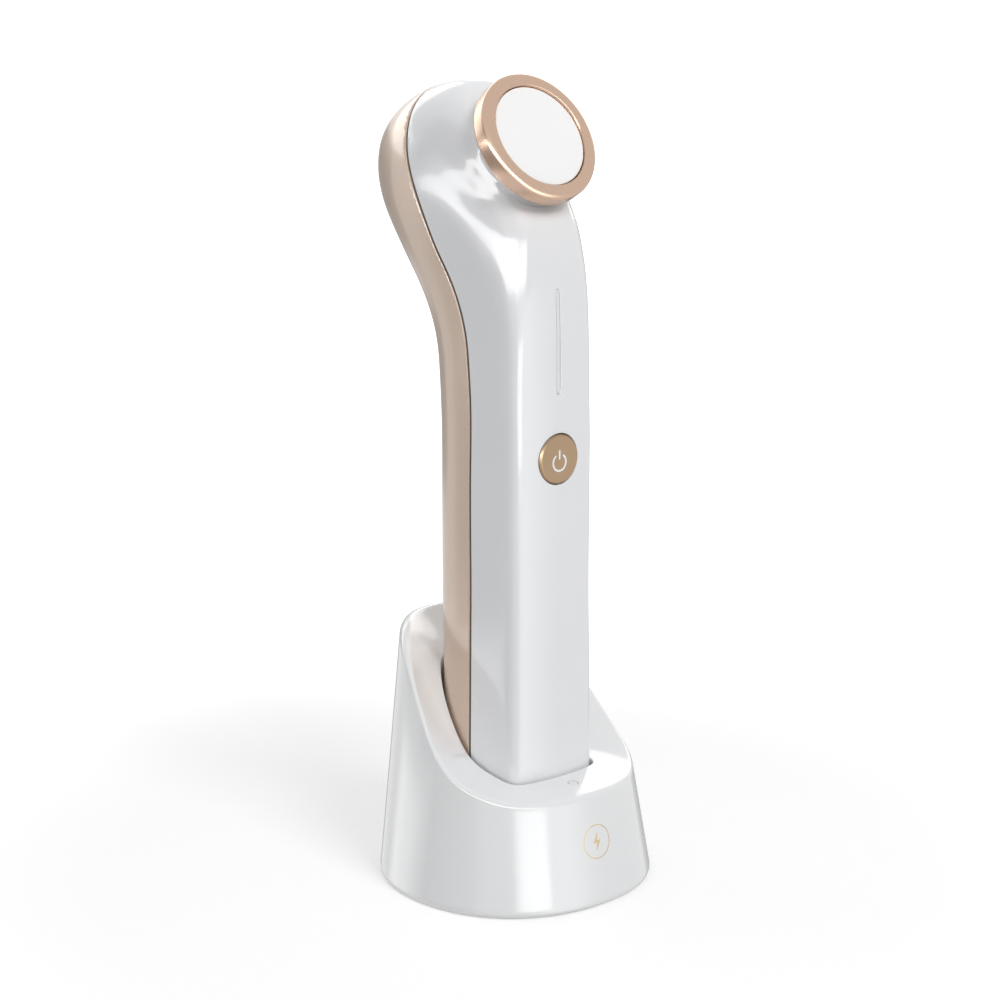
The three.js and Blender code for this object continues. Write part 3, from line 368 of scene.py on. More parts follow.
# %% [markdown]
# ## The handset's skin
# The handle has a squarish section with a flat front, and it turns into a round neck as the head bends
# over. In the CAD model a row of ribs describes this: each rib is a section between a point on the
# front line and one on the back line. Here a smooth curve goes through the same ribs, with many more
# sections between them, so that a highlight runs down the shell without a break. A row of the table
# holds how far the front point moved from the bend (back, up), the same for the back point, the share
# of the head's width, the squareness in front and behind, and the crown.

# %% Ribs of the skin
BASE_Z, HANDLE_LENGTH = 16.0, 129.0
HANDLE_FRONT, HANDLE_BACK, HANDLE_HALF_WIDTH = 17.0, 19.2, 13.7
BACK_TAPER, FOOT_SPREAD, FRONT_CROWN, BACK_CROWN = 1.4, 0.6, 1.7, 1.2
FRONT_SQUARE, BACK_SQUARE = 11.0, 4.0
BEND_Z = BASE_Z + HANDLE_LENGTH
HEAD_HALF_WIDTH, TILT = 15.2, math.radians(29.3)
DISC = np.array([-HANDLE_FRONT + 7.9, BEND_Z + 49.6])
NECK_END, NECK_RADIUS = -7.65, 13.4
RIBS = [[0.4, 0, 2.8, 0, 0, 8.8, 4, 0.9], [0.7, 7, 7.3, 8.8, 0.18, 7.2, 3.8, 0.7],
        [1, 13.5, 13.8, 17, 0.45, 5.7, 3.5, 0.5], [1.4, 19, 20.4, 25, 0.75, 4.6, 3.2, 0.35],
        [2, 23.2, 25.6, 33, 0.95, 4, 3, 0.2], [2.6, 26.3, 27.8, 41, 1.05, 3.6, 2.8, 0.1],
        [3.3, 28.5, 26.2, 48.4, 1.05, 3.2, 2.7, 0], [4, 30.1, 21.2, 54.4, 1, 2.85, 2.6, 0],
        [4.7, 31.2, 13.8, 59, 0.9, 2.6, 2.5, 0], [5.4, 31.9, 5.2, 62, 0.65, 2.4, 2.35, 0],
        [6.1, 32.3, -3.2, 63.2, 0.3, 2.2, 2.2, 0], [6.8, 32.6, -9.4, 62.4, -0.1, 2.05, 2.1, 0]]


def from_disc(along, across):
    """Side-view point at a distance along the disc's axis and across it."""
    return [DISC[0] - along * math.cos(TILT) + across * math.sin(TILT),
            DISC[1] + along * math.sin(TILT) + across * math.cos(TILT)]


def level(z):
    """A level rib of the straight handle, which tapers towards its foot."""
    low = 1 - min(1, (z - BASE_Z) / (HANDLE_LENGTH / 2))
    spread = FOOT_SPREAD * low
    return [-HANDLE_FRONT - spread, z, HANDLE_BACK - BACK_TAPER * low, z, HANDLE_HALF_WIDTH + spread,
            FRONT_SQUARE, BACK_SQUARE, 1]


ribs = [level(z) for z in (BASE_Z, 32, 48, 64, 80.5, 92, 104, 120)]
ribs.append([-HANDLE_FRONT + 0.3, BEND_Z - 12, HANDLE_BACK + 0.7, BEND_Z - 12, HANDLE_HALF_WIDTH,
             10.2, BACK_SQUARE, 1])
for fy, fz, by, bz, share, front_square, back_square, crown in RIBS:
    half_width = HANDLE_HALF_WIDTH + (HEAD_HALF_WIDTH - HANDLE_HALF_WIDTH) * share
    ribs.append([-HANDLE_FRONT + fy, BEND_Z + fz, HANDLE_BACK + by, BEND_Z + bz, half_width,
                 front_square, back_square, crown])
ribs.append([*from_disc(NECK_END, -NECK_RADIUS), *from_disc(NECK_END, NECK_RADIUS), NECK_RADIUS,
             2, 2, 0])
ribs = np.array(ribs, float)
print("ribs:", len(ribs))

# %% [markdown]
# A spline with even curvature is what keeps a reflection calm. The function below is the natural cubic
# spline: it solves for the bend at each rib so that slope and curvature agree on both sides.

# %% A smooth curve through the ribs
def spline(knots, values):
    """The natural cubic spline through values at knots, as a function of where."""
    knots, values = np.asarray(knots, float), np.asarray(values, float)
    n, h = len(knots), np.diff(knots)
    system, load = np.zeros((n, n)), np.zeros(values.shape)
    system[0, 0] = system[-1, -1] = 1
    for i in range(1, n - 1):
        system[i, i - 1:i + 2] = h[i - 1], 2 * (h[i - 1] + h[i]), h[i]
        load[i] = 6 * ((values[i + 1] - values[i]) / h[i] - (values[i] - values[i - 1]) / h[i - 1])
    bend = np.linalg.solve(system, load)

    def at(where):
        where = np.atleast_1d(np.asarray(where, float))
        i = np.clip(np.searchsorted(knots, where) - 1, 0, n - 2)
        step = h[i][:, None]
        t, u = (where - knots[i])[:, None], (knots[i + 1] - where)[:, None]
        return ((bend[i] * u ** 3 + bend[i + 1] * t ** 3) / (6 * step)
                + (values[i] / step - bend[i] * step / 6) * u
                + (values[i + 1] / step - bend[i + 1] * step / 6) * t)

    return at


def distances(line):
    """How far each point of a line lies from its start, measured from point to point."""
    return np.concatenate([[0], np.cumsum(np.linalg.norm(np.diff(line, axis=0), axis=1))])


rib_places = (distances(ribs[:, 0:2]) + distances(ribs[:, 2:4])) / 2
rib_at = spline(rib_places, ribs)
print("length along the skin:", round(rib_places[-1], 1), "mm")

# %% [markdown]
# Each section is a rounded rectangle whose corners get softer from the handle to the neck, where it is
# a circle. A power curve does this with one number: 2 gives a circle, and a high number gives nearly
# square corners. The flat front and back bulge a little across, and that bulge is their crown.

# %% The skin as a grid of points
AROUND = 192
ROW_STEP = 0.9
rows = rib_at(np.linspace(0, rib_places[-1], int(rib_places[-1] / ROW_STEP)))


def skin(rows):
    """Points round each rib: flat-sided where its squareness is high, round where it is 2."""
    turn = 2 * np.pi * np.arange(AROUND) / AROUND
    c, s = np.cos(turn)[None, :], np.sin(turn)[None, :]
    fy, fz, by, bz, half, front_square, back_square, crown = (rows[:, [i]] for i in range(8))
    square = np.where(s < 0, front_square, back_square)
    reach = (np.abs(c) ** square + np.abs(s) ** square) ** (-1 / square)
    px, q = reach * c, reach * s
    dy, dz = by - fy, bz - fz
    length = np.hypot(dy, dz)
    bulge = np.where(s < 0, FRONT_CROWN, BACK_CROWN) * crown * px ** 2
    k = 0.5 + q * (length / 2 - bulge) / length
    return np.stack([px * half + 0 * k, fy + dy * k, fz + dz * k], axis=2).reshape(-1, 3)


skin_points = skin(rows)
skin_faces = grid(len(rows), AROUND)
print("skin:", len(rows), "rows of", AROUND, "points")

# %% [markdown]
# ## Cutting the skin
# A boolean modifier would cut the shells too, but it leaves long slivers along the cut, and these
# catch the light. So the cut is made on the grid itself: a function tells how far each point is
# inside, faces across the border are trimmed, and a point that lies nearly on the border is slid onto
# it.

# %% Trim a surface along a border
def trimmed(points, faces, inside, snap=0.28):
    """The part where inside is positive; a point nearer than snap, as a share of its edge, is slid."""
    points, inside = np.array(points, float), np.array(inside, float)
    edges = {(min(a, b), max(a, b)) for face in faces for a, b in zip(face, face[1:] + face[:1])
             if inside[a] * inside[b] < 0}
    best = {}
    for a, b in edges:
        t = inside[a] / (inside[a] - inside[b])
        for v, other, share in ((a, b, t), (b, a, 1 - t)):
            if share < snap and share < best.get(v, (snap,))[0]:
                best[v] = (share, other)
    moved = {v: points[v] + (points[other] - points[v]) * share for v, (share, other) in best.items()}
    for v, spot in moved.items():
        points[v], inside[v] = spot, 0
    points, new, kept = list(points), {}, []
    for face in faces:
        signs = [inside[v] for v in face]
        if max(signs) <= 0:
            continue
        if min(signs) >= 0:
            kept.append(face)
            continue
        outline = []
        for a, b in zip(face, face[1:] + face[:1]):
            if inside[a] >= 0:
                outline.append(a)
            if inside[a] * inside[b] < 0:
                key = (min(a, b), max(a, b))
                if key not in new:
                    t = inside[key[0]] / (inside[key[0]] - inside[key[1]])
                    new[key] = len(points)
                    points.append(points[key[0]] + (points[key[1]] - points[key[0]]) * t)
                outline.append(new[key])
        if len(outline) > 2:
            kept.append(tuple(outline))
    return np.array(points), kept


above_bend = trimmed(skin_points, skin_faces, skin_points[:, 2] - BEND_Z)
print("faces of the skin above the bend:", len(above_bend[1]))

# %% [markdown]
# The border between the shells is a line in the side view. It runs straight up the handle, a little
# behind its middle, and then follows the back of the bend to the top of the head. Which side of it a
# point lies on comes from the nearest spot of the line and the line's direction there.

# %% The seam
SEAM_Y, GASKET_WIDTH, SEAM_GAP, SHELL_WALL = 1.7, 0.4, 0.2, 1.2
SEAM = np.array([[0, -140], [0, -100], [0, -60], [0, -35], [0, -15], [0.5, -9], [1.7, 0], [4.2, 8],
                 [7.5, 14.4], [11.6, 20.5], [15.7, 27.7], [19.8, 35.6], [22.8, 43], [24.1, 50],
                 [24.5, 56], [24.6, 61], [24.7, 75]])
seam_places = distances(SEAM)
seam_line = spline(seam_places, SEAM)(np.linspace(0, seam_places[-1], 500)) + [SEAM_Y, BEND_Z]


def behind_seam(points):
    """Signed distance from the seam in the side view, positive on the rear shell's side."""
    spots = points[:, 1:3]
    near = np.argmin(((spots[:, None, :] - seam_line[None, :, :]) ** 2).sum(2), axis=1)
    i = np.clip(near, 1, len(seam_line) - 2)
    tangent = unit(seam_line[i + 1] - seam_line[i - 1])
    off = spots - seam_line[i]
    return off[:, 0] * tangent[:, 1] - off[:, 1] * tangent[:, 0]


print("skin points behind the seam:", int((behind_seam(skin_points) > 0).sum()))

# %% [markdown]
# ## The two shells and the seal
# Each shell is its side of the seam, given its wall by a Solidify modifier and a small round on every
# edge by a Bevel modifier, as a mould tool gives it. The front shell also has the round hole for the
# button and the slot for the light.

# %% Front and rear shell
BUTTON_Z, BUTTON_BORE = 114.4, 6.65
LIGHT_LOW, LIGHT_HIGH, LIGHT_HALF, LIGHT_GAP = 131.4, 156.8, 0.5, 0.13
FRONT_SIDE_Y, FAR_OFF = -5, 99.0


def from_button(points):
    """Distance from the button's axis, for points on the front side."""
    apart = np.hypot(points[:, 0], points[:, 2] - BUTTON_Z)
    return np.where(points[:, 1] < FRONT_SIDE_Y, apart, FAR_OFF)


def from_light(points):
    """Distance from the middle line of the light, for points on the front side."""
    past = np.maximum(np.maximum(LIGHT_LOW - points[:, 2], points[:, 2] - LIGHT_HIGH), 0)
    return np.where(points[:, 1] < FRONT_SIDE_Y, np.hypot(points[:, 0], past), FAR_OFF)


def shell(name, points, faces, finish, wall=SHELL_WALL, edge=0.16):
    """A surface given a wall inwards and, if asked, a small round on its sharp edges."""
    made = build(name, points, faces, finish)
    solid = made.modifiers.new("wall", "SOLIDIFY")
    solid.thickness, solid.offset = wall * MM, -1
    solid.use_even_offset = solid.use_quality_normals = True
    if edge:
        soft = made.modifiers.new("edge", "BEVEL")
        soft.width, soft.segments = edge * MM, 2
        soft.limit_method, soft.angle_limit = "ANGLE", math.radians(55)
        soft.use_clamp_overlap = False
    apply(made)
    return made


half_seam = GASKET_WIDTH / 2 + SEAM_GAP
front = trimmed(skin_points, skin_faces, -behind_seam(skin_points) - half_seam)
front = trimmed(*front, from_button(front[0]) - BUTTON_BORE)
front = trimmed(*front, from_light(front[0]) - LIGHT_HALF - LIGHT_GAP)
place(shell("front_shell_moulding", *front, white_plastic), "handset", "white_gloss", "front_shell")
rear = trimmed(skin_points, skin_faces, behind_seam(skin_points) - half_seam)
place(shell("rear_shell_lacquered", *rear, champagne), "handset", "champagne_gloss", "rear_shell")

# %% [markdown]
# A thin rubber seal lies in the seam, a little below the skin, and shows as a dark line. The light's
# window is a milky strip in its slot. Both are cut from a copy of the skin that is moved inwards, so
# that they follow the bend of the handset by themselves.

# %% Seam seal and light window
def sunk(depth):
    """The skin moved inwards by a depth, along its own normals."""
    points = skin_points.reshape(len(rows), AROUND, 3)
    up_skin = np.gradient(points, axis=0)
    round_skin = np.roll(points, -1, axis=1) - np.roll(points, 1, axis=1)
    return (points - unit(np.cross(round_skin, up_skin)) * depth).reshape(-1, 3)


sunk_skin = sunk(0.35)
band = trimmed(sunk_skin, skin_faces, GASKET_WIDTH / 2 + behind_seam(sunk_skin), snap=0.2)
band = trimmed(*band, GASKET_WIDTH / 2 - behind_seam(band[0]), snap=0.2)
place(shell("seam_seal", *band, seal, wall=1.2, edge=0), "handset", "dark_seal", "seam_gasket")
window_skin = sunk(0.06)
window = trimmed(window_skin, skin_faces, LIGHT_HALF - from_light(window_skin))
place(shell("status_light_window", *window, milky, wall=2.0, edge=0.1), "handset", "light_diffuser",
      "status_light_bar")

# %% [markdown]
# ## The treatment head
# The disc, its ring and the collar behind it are all round, so each one is turned: an outline of
# radius and height, spun about the disc's axis. The ring is a flat band with a rolled outer edge. The
# roll is what draws the bright line round it.

# %% Disc, ring and collar
HEAD_ORIGIN = [0, *DISC]
HEAD_AXIS = [0, -math.cos(TILT), math.sin(TILT)]
DISC_RADIUS, RING_RADIUS, RING_LIP, RING_BACK, LEDGE_BORE = 13.35, 17.2, 0.9, -3.6, 10.8
DISC_FACE, RING_SKIRT, SKIRT_BORE = 0.3, -4.25, 15.6
COLLAR_RADIUS, COLLAR_FRONT, HEAD_BORE, FLARE_LENGTH = 15.3, -4.6, 12.5, 1.7
SEAT, LEDGE, SKIRT_ROUND, RING_ROLL, LIP_ROUND = 0.3, -2.3, 0.9, 1.35, 0.25
DISC_UNDER, DISC_EDGE = -2.0, 0.3
NEARLY_ZERO = 0.02

disc_profile = [(NEARLY_ZERO, DISC_UNDER), (DISC_RADIUS - 0.2, DISC_UNDER),
                (DISC_RADIUS, DISC_UNDER + 0.2), (DISC_RADIUS, DISC_FACE - 0.35),
                *arc((DISC_RADIUS - DISC_EDGE, DISC_FACE - DISC_EDGE), DISC_EDGE, 0, 90, 6),
                (8, DISC_FACE + 0.02), (NEARLY_ZERO, DISC_FACE + 0.03)]
disc = turned("treatment_disc_ceramic", disc_profile, ceramic, HEAD_ORIGIN, HEAD_AXIS)
place(disc, "handset", "ceramic_white", "treatment_disc")
seat_wall = DISC_RADIUS + SEAT - 0.1
ring_profile = [(LEDGE_BORE, RING_BACK), (SKIRT_BORE, RING_BACK), (SKIRT_BORE, RING_SKIRT + 0.1),
                (SKIRT_BORE + 0.1, RING_SKIRT),
                *arc((RING_RADIUS - SKIRT_ROUND, RING_SKIRT + SKIRT_ROUND), SKIRT_ROUND, -90, 0, 8),
                *arc((RING_RADIUS - RING_ROLL, RING_LIP - RING_ROLL), RING_ROLL, 0, 90, 14),
                *arc((DISC_RADIUS + SEAT + LIP_ROUND, RING_LIP - LIP_ROUND), LIP_ROUND, 90, 150, 4),
                (seat_wall, 0), (seat_wall, LEDGE), (LEDGE_BORE, LEDGE)]
ring = turned("head_ring_turned", ring_profile, rose_gold, HEAD_ORIGIN, HEAD_AXIS, steps=192)
place(ring, "handset", "rose_gold_satin", "head_ring")
flare, collar_back = COLLAR_RADIUS - NECK_RADIUS, NECK_END + 0.05
collar_profile = [(HEAD_BORE, collar_back), (NECK_RADIUS, collar_back)]
collar_profile += [(NECK_RADIUS + flare * (1 - math.cos(t)), collar_back + FLARE_LENGTH * math.sin(t))
                   for t in np.radians(np.linspace(9, 90, 10))]
collar_profile += [*arc((COLLAR_RADIUS - 0.25, COLLAR_FRONT - 0.25), 0.25, 0, 90, 5),
                   (HEAD_BORE, COLLAR_FRONT)]
collar = turned("head_collar_moulding", collar_profile, white_plastic, HEAD_ORIGIN, HEAD_AXIS, steps=192)
place(collar, "handset", "white_gloss", "head_collar")

# %% [markdown]
# ## The power button
# A metal cap that travels 0.6 mm. Its edge is a turned bevel and its face is nearly flat. Its stem
# reaches back towards the switch, as far as in the CAD model.

# %% Button cap
BUTTON_FACE = 17.2
CAP_RADIUS = BUTTON_BORE - 0.2
STEM_RADIUS, CAP_BACK = 1.6, BUTTON_FACE - 2.1
stem_back = -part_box("power_button")[1][1] / MM
cap_profile = [(NEARLY_ZERO, BUTTON_FACE - 0.06), (3.5, BUTTON_FACE - 0.03),
               (CAP_RADIUS - 0.62, BUTTON_FACE),
               *arc((CAP_RADIUS - 0.5, BUTTON_FACE - 0.12), 0.12, 90, 50, 3),
               *arc((CAP_RADIUS - 0.14, BUTTON_FACE - 0.62), 0.14, 45, 0, 3),
               (CAP_RADIUS, BUTTON_FACE - 2.0), (CAP_RADIUS - 0.1, CAP_BACK), (STEM_RADIUS, CAP_BACK),
               (STEM_RADIUS, stem_back), (NEARLY_ZERO, stem_back)]
cap = turned("power_button_cap", cap_profile, bronze, [0, 0, BUTTON_Z], [0, -1, 0], sharp=30)
place(cap, "power_button", "bronze_satin", "power_button")

# %% [markdown]
# The usual sign for power is printed on the cap: a broken ring with a bar. The sign is a thin raised
# stroke, made by running a flat section along a path and closing each end with a half circle.

# %% Power sign
def stroke(name, path, width, surface, finish, ends=5):
    """A thin printed line along a path of (across, up) points, laid on surface(across, up, height)."""
    low, high = -0.04, 0.02
    path = np.array(path, float)
    tangent = unit(np.gradient(path, axis=0))
    spots, sides, halves = list(path), list(tangent), [width / 2] * len(path)
    for k in range(1, ends + 1):
        turn = math.pi / 2 * k / (ends + 0.2)
        for first, sign in ((True, -1), (False, 1)):
            base, way = (path[0], tangent[0]) if first else (path[-1], tangent[-1])
            index = 0 if first else len(spots)
            spots.insert(index, base + way * sign * width / 2 * math.sin(turn))
            sides.insert(index, way)
            halves.insert(index, width / 2 * math.cos(turn))
    sections = []
    for spot, way, half in zip(spots, sides, halves):
        across = np.array([way[1], -way[0]]) * half
        sections.append([surface(*(spot + across), high), surface(*(spot - across), high),
                         surface(*(spot - across), low), surface(*(spot + across), low)])
    return tube(name, sections, finish, sharp=50)


def on_button(across, up, height):
    """A point on the button's face, which lies about 0.05 mm below its edge there."""
    return [across, -BUTTON_FACE + 0.05 - height, BUTTON_Z + up]


SIGN_RADIUS, SIGN_UP, SIGN_LINE = 2.15, -0.85, 0.52
sign_ring = [(SIGN_RADIUS * math.sin(a), SIGN_UP + SIGN_RADIUS * math.cos(a))
             for a in np.radians(np.linspace(38, 322, 48))]
sign_bar = [(0, SIGN_UP + h) for h in np.linspace(1.0, 2.95, 6)]
for part, path in (("ring", sign_ring), ("bar", sign_bar)):
    sign = stroke(f"power_sign_{part}", path, SIGN_LINE, on_button, white_ink)
    place(sign, "power_button", "bronze_satin")

# %% [markdown]
# ## The dock
# The dock's body is one moulding: a tapering wall, a rounded rim that rises towards the back, a scoop
# hollowed like a bowl, and the socket that holds the handset's foot. All of it is drawn on spokes that
# run out from the middle. Each ring of points is one height of the wall or one step of the scoop. The
# rings go on through the inside of the moulding and join the first one, so the mesh is closed.

# %% Outlines of the dock
SPOKES = 360
DOCK_HALF_WIDTH, DOCK_FRONT, DOCK_BACK = 35.7, 35.4, 36.5
DOCK_WALL, DOCK_BOTTOM, BOTTOM_ROUND = 2.2, 0.4, 1.4
DRAFT_SIDE, DRAFT_FRONT, DRAFT_BACK = 0.155, 0.188, 0.009
WALL_SQUARE_FRONT, WALL_SQUARE_BACK = 2.18, 2.0
SOCKET_GAP, SOCKET_WALL, SOCKET_FLOOR, SOCKET_UNDER = 0.5, 1.8, 15.7, 13.7
spoke_turn = 2 * np.pi * np.arange(SPOKES) / SPOKES
spoke_x, spoke_y = np.cos(spoke_turn), np.sin(spoke_turn)
ahead = spoke_y < 0


def power_curve(a, b, square):
    """How far out on each spoke lies a curve with half axes a and b, rounder for a smaller square."""
    return ((np.abs(spoke_x) / a) ** square + (np.abs(spoke_y) / b) ** square) ** (-1 / square)


def wall_reach(z, inset=0.0):
    """How far out the dock's wall lies on each spoke at a height."""
    b = np.where(ahead, DOCK_FRONT - DRAFT_FRONT * z, DOCK_BACK - DRAFT_BACK * z)
    square = np.where(ahead, WALL_SQUARE_FRONT, WALL_SQUARE_BACK)
    return power_curve(DOCK_HALF_WIDTH - DRAFT_SIDE * z - inset, b - inset, square)


def socket_reach(z, gap=SOCKET_GAP):
    """How far out the socket's wall lies on each spoke: the handset's foot, enlarged by a gap."""
    z = np.zeros(SPOKES) + z
    low = 1 - np.clip((z - BASE_Z) / (HANDLE_LENGTH / 2), 0, 1)
    front_line, back_line = HANDLE_FRONT + FOOT_SPREAD, HANDLE_BACK - BACK_TAPER * low
    half = HANDLE_HALF_WIDTH + FOOT_SPREAD + gap
    middle, deep = (back_line - front_line) / 2, (back_line + front_line) / 2
    near, far = np.full(SPOKES, 3.0), np.full(SPOKES, 40.0)
    for _ in range(40):
        reach = (near + far) / 2
        px = np.abs(reach * spoke_x) / half
        q = reach * spoke_y - middle
        front_side = q < 0
        square = np.where(front_side, FRONT_SQUARE, BACK_SQUARE)
        crown = np.where(front_side, FRONT_CROWN, BACK_CROWN) * np.minimum(px, 1) ** 2
        outside = px ** square + (np.abs(q) / (deep + gap - crown)) ** square > 1
        near, far = np.where(outside, near, reach), np.where(outside, reach, far)
    return (near + far) / 2


print("dock wall at the floor:", round(wall_reach(0).min(), 1), "mm from the middle and more")

# %% [markdown]
# Two curves in the side view give the heights: one for the rim and one for the bottom of the scoop.
# Between the handset's foot and the rim the scoop follows a curve that starts flat and ends steep,
# like the inside of a bowl.

# %% Rim and scoop
RIM = np.array([[-36, 29.2], [-24, 29.3], [-16, 31.4], [-10, 33.9], [-4, 38], [2, 44.2], [8, 50.8],
                [14, 56.4], [22, 61.5], [30, 64.6], [37, 65.6]])
SCOOP = np.array([[-20, 30.3], [-10, 31.3], [-2, 32.8], [1.6, 34.6], [6.3, 39.9], [10.1, 45.8],
                  [14.2, 53], [19, 58.6], [24, 60.5]])
BOWL = 1.5
RIM_ROUND, RIM_EXTRA, RIM_WIDENS_FROM, RIM_WIDENS_OVER = 1.1, 2.7, 8, DOCK_BACK - 12
FOOT_HALF_WIDTH, FOOT_INSET, MOUTH_RISE = 13.52, 0.5, 30
rim_curve = spline(RIM[:, 0], RIM[:, 1:])
scoop_curve = spline(SCOOP[:, 0], SCOOP[:, 1:])
rim_z = np.full(SPOKES, 30.0)
for _ in range(60):
    rim_z = rim_curve(wall_reach(rim_z) * spoke_y)[:, 0]
back_share = np.clip((wall_reach(rim_z) * spoke_y - RIM_WIDENS_FROM) / RIM_WIDENS_OVER, 0, 1)
rim_round = RIM_ROUND + RIM_EXTRA * back_share ** 2 * (3 - 2 * back_share)
foot_back = HANDLE_BACK - BACK_TAPER * (1 - MOUTH_RISE / (HANDLE_LENGTH / 2)) - FOOT_INSET
foot_reach = power_curve(FOOT_HALF_WIDTH, np.where(ahead, HANDLE_FRONT - FOOT_INSET, foot_back),
                         np.where(ahead, 5.0, 4.0))
scoop_low = scoop_curve(foot_reach * spoke_y)[:, 0]
scoop_end = wall_reach(rim_z, rim_round)


def scoop_z(reach):
    """Height of the scoop on each spoke, at a distance from the middle."""
    k = np.clip((reach - foot_reach) / (scoop_end - foot_reach), 0, 2)
    return scoop_low + (rim_z - scoop_low) * k ** BOWL


print("rim from", round(rim_z.min(), 1), "to", round(rim_z.max(), 1), "mm high")

# %% [markdown]
# The rim and the socket's mouth are rounded with true arcs. An arc between two tangents is a curve
# with three control points, in which the middle one has less weight the sharper the corner is.

# %% Helpers for rings
def ring_points(reach, z):
    """One ring: a point on every spoke, at a distance from the middle and a height."""
    return np.stack([reach * spoke_x, reach * spoke_y, np.zeros(SPOKES) + z], axis=1)


def wall_ring(z, inset=0.0):
    """A ring on the wall, or inside it by an inset."""
    return ring_points(wall_reach(z, inset), z)


def socket_ring(z, gap=SOCKET_GAP):
    """A ring on the socket's wall."""
    return ring_points(socket_reach(z, gap), z)


def block_ring(z):
    """A ring on the hidden side of the socket's wall."""
    return socket_ring(z, SOCKET_GAP + SOCKET_WALL)


def rounded(start, corner, end, steps):
    """Rings of an arc from start to end that leaves along start-corner and arrives along corner-end."""
    turn = np.arccos(np.clip((unit(corner - start) * unit(end - corner)).sum(1), -1, 1))
    weight = np.cos(turn / 2)[:, None]
    found = []
    for t in np.linspace(0, 1, steps + 1):
        shares = (1 - t) ** 2, 2 * weight * t * (1 - t), t ** 2
        found.append((shares[0] * start + shares[1] * corner + shares[2] * end) / sum(shares))
    return found


def steps_to(start, end, steps, ring=lambda value: value):
    """Rings at equal steps after start, up to and with end; ring turns a value into a ring."""
    return [ring(start + (end - start) * t) for t in np.linspace(0, 1, steps + 1)[1:]]


def between(start, end, steps, ring=lambda value: value):
    """The same without the last one."""
    return steps_to(start, end, steps, ring)[:-1]


print("points on a ring:", len(wall_ring(0)))

# %% [markdown]
# ## The dock's outside
# The rings start at the bottom edge, climb the wall and roll over the rim. The wall leans inwards, as
# a moulding has to so that it leaves its tool, and the rim's roll is wider at the back, where the wall
# is high.

# %% Bottom edge, wall and rim
wall_foot = DOCK_BOTTOM + BOTTOM_ROUND
bottom = ring_points(wall_reach(DOCK_BOTTOM, 0.6 * BOTTOM_ROUND), DOCK_BOTTOM)
rings = rounded(bottom, wall_ring(DOCK_BOTTOM, 0.02), wall_ring(wall_foot), 6)
scoop_slope = BOWL * (rim_z - scoop_low) / (scoop_end - foot_reach)
wall_here = wall_reach(rim_z)
corner_z = rim_z + scoop_slope * (wall_here - scoop_end)
leg = np.hypot(wall_here - scoop_end, corner_z - rim_z)
rings += between(wall_foot, corner_z - leg, 36, wall_ring)
rings += rounded(wall_ring(corner_z - leg), wall_ring(corner_z), ring_points(scoop_end, rim_z), 14)
print("rings outside:", len(rings))

# %% [markdown]
# From the rim the scoop runs down to the socket's mouth, like the inside of a bowl that is cut at a
# slant. The handset's foot then goes into the socket with half a millimetre of room all round.

# %% Scoop and mouth
MOUTH = 0.4
mouth = socket_reach(30.0)
for _ in range(12):
    mouth = socket_reach(scoop_z(mouth))
rings += steps_to(scoop_end, mouth + MOUTH, 26, lambda reach: ring_points(reach, scoop_z(reach)))
mouth_z = scoop_z(mouth)
rings += rounded(rings[-1], ring_points(mouth, mouth_z), socket_ring(mouth_z - MOUTH), 5)[1:]
print("rings with the scoop:", len(rings))

# %% [markdown]
# The socket has a floor with a window for the spring contacts. From there the rings turn back and
# follow the hidden side of the moulding, one wall thickness away, down to the bottom edge where they
# began.

# %% Socket and inner side
CONTACT_WINDOW, WINDOW_Y = (9.3, 4.3), -9.8
rings += steps_to(mouth_z - MOUTH, SOCKET_FLOOR, 12, socket_ring)
opening = ring_points(power_curve(*CONTACT_WINDOW, 24), SOCKET_FLOOR) + [0, WINDOW_Y, 0]
under = opening - [0, 0, SOCKET_FLOOR - SOCKET_UNDER]
rings += steps_to(rings[-1], opening, 5) + [under] + steps_to(under, block_ring(SOCKET_UNDER), 5)
block = socket_reach(scoop_z(mouth + 2), SOCKET_GAP + SOCKET_WALL)
drop = DOCK_WALL * np.hypot(1, scoop_slope)
rings += steps_to(SOCKET_UNDER, scoop_z(block) - drop, 8, block_ring)
inner = wall_reach(rim_z, DOCK_WALL)
rings += steps_to(block, inner, 11, lambda reach: ring_points(reach, scoop_z(reach) - drop))
rings += steps_to(scoop_z(inner) - drop, DOCK_BOTTOM, 13, lambda z: wall_ring(z, DOCK_WALL))
rings += between(rings[-1], rings[0], 3)
dock_body = tube("dock_moulding", rings, dock_plastic, 35, loop=True)
print("dock rings:", len(rings))

# %% [markdown]
# Two holes go through the moulding: one for the power inlet at the back and one for the charging light
# in the scoop. They are small and round, so a boolean does well here. The cutters are removed
# afterwards.

# %% Holes for the inlet and the light
BOARD_TOP, INLET_WIDTH, INLET_HEIGHT, INLET_LENGTH = 8.5, 8.9, 3.3, 7.3
INLET_Z = BOARD_TOP + INLET_HEIGHT / 2
LENS_Y, LENS_RADIUS, LENS_HOLE = -23.0, 1.2, 1.4
circle = 2 * np.pi * np.arange(48) / 48


def pill(width, height):
    """Outline of a flat bar with round ends, as (across, up) points."""
    r, side = height / 2, (width - height) / 2
    turn = np.linspace(-math.pi / 2, math.pi / 2, 20)
    return ([(side + r * math.cos(a), r * math.sin(a)) for a in turn]
            + [(-side - r * math.cos(a), -r * math.sin(a)) for a in turn])


def upright(outline, y):
    """An outline stood up across the dock at the inlet's height, a distance y behind the middle."""
    return np.array([[x, y, INLET_Z + h] for x, h in outline])


def lying(radius, z):
    """A level circle about the light's axis. The height can differ round it."""
    x, y = radius * np.cos(circle), LENS_Y + radius * np.sin(circle)
    return np.stack([x, y, circle * 0 + z], axis=1)


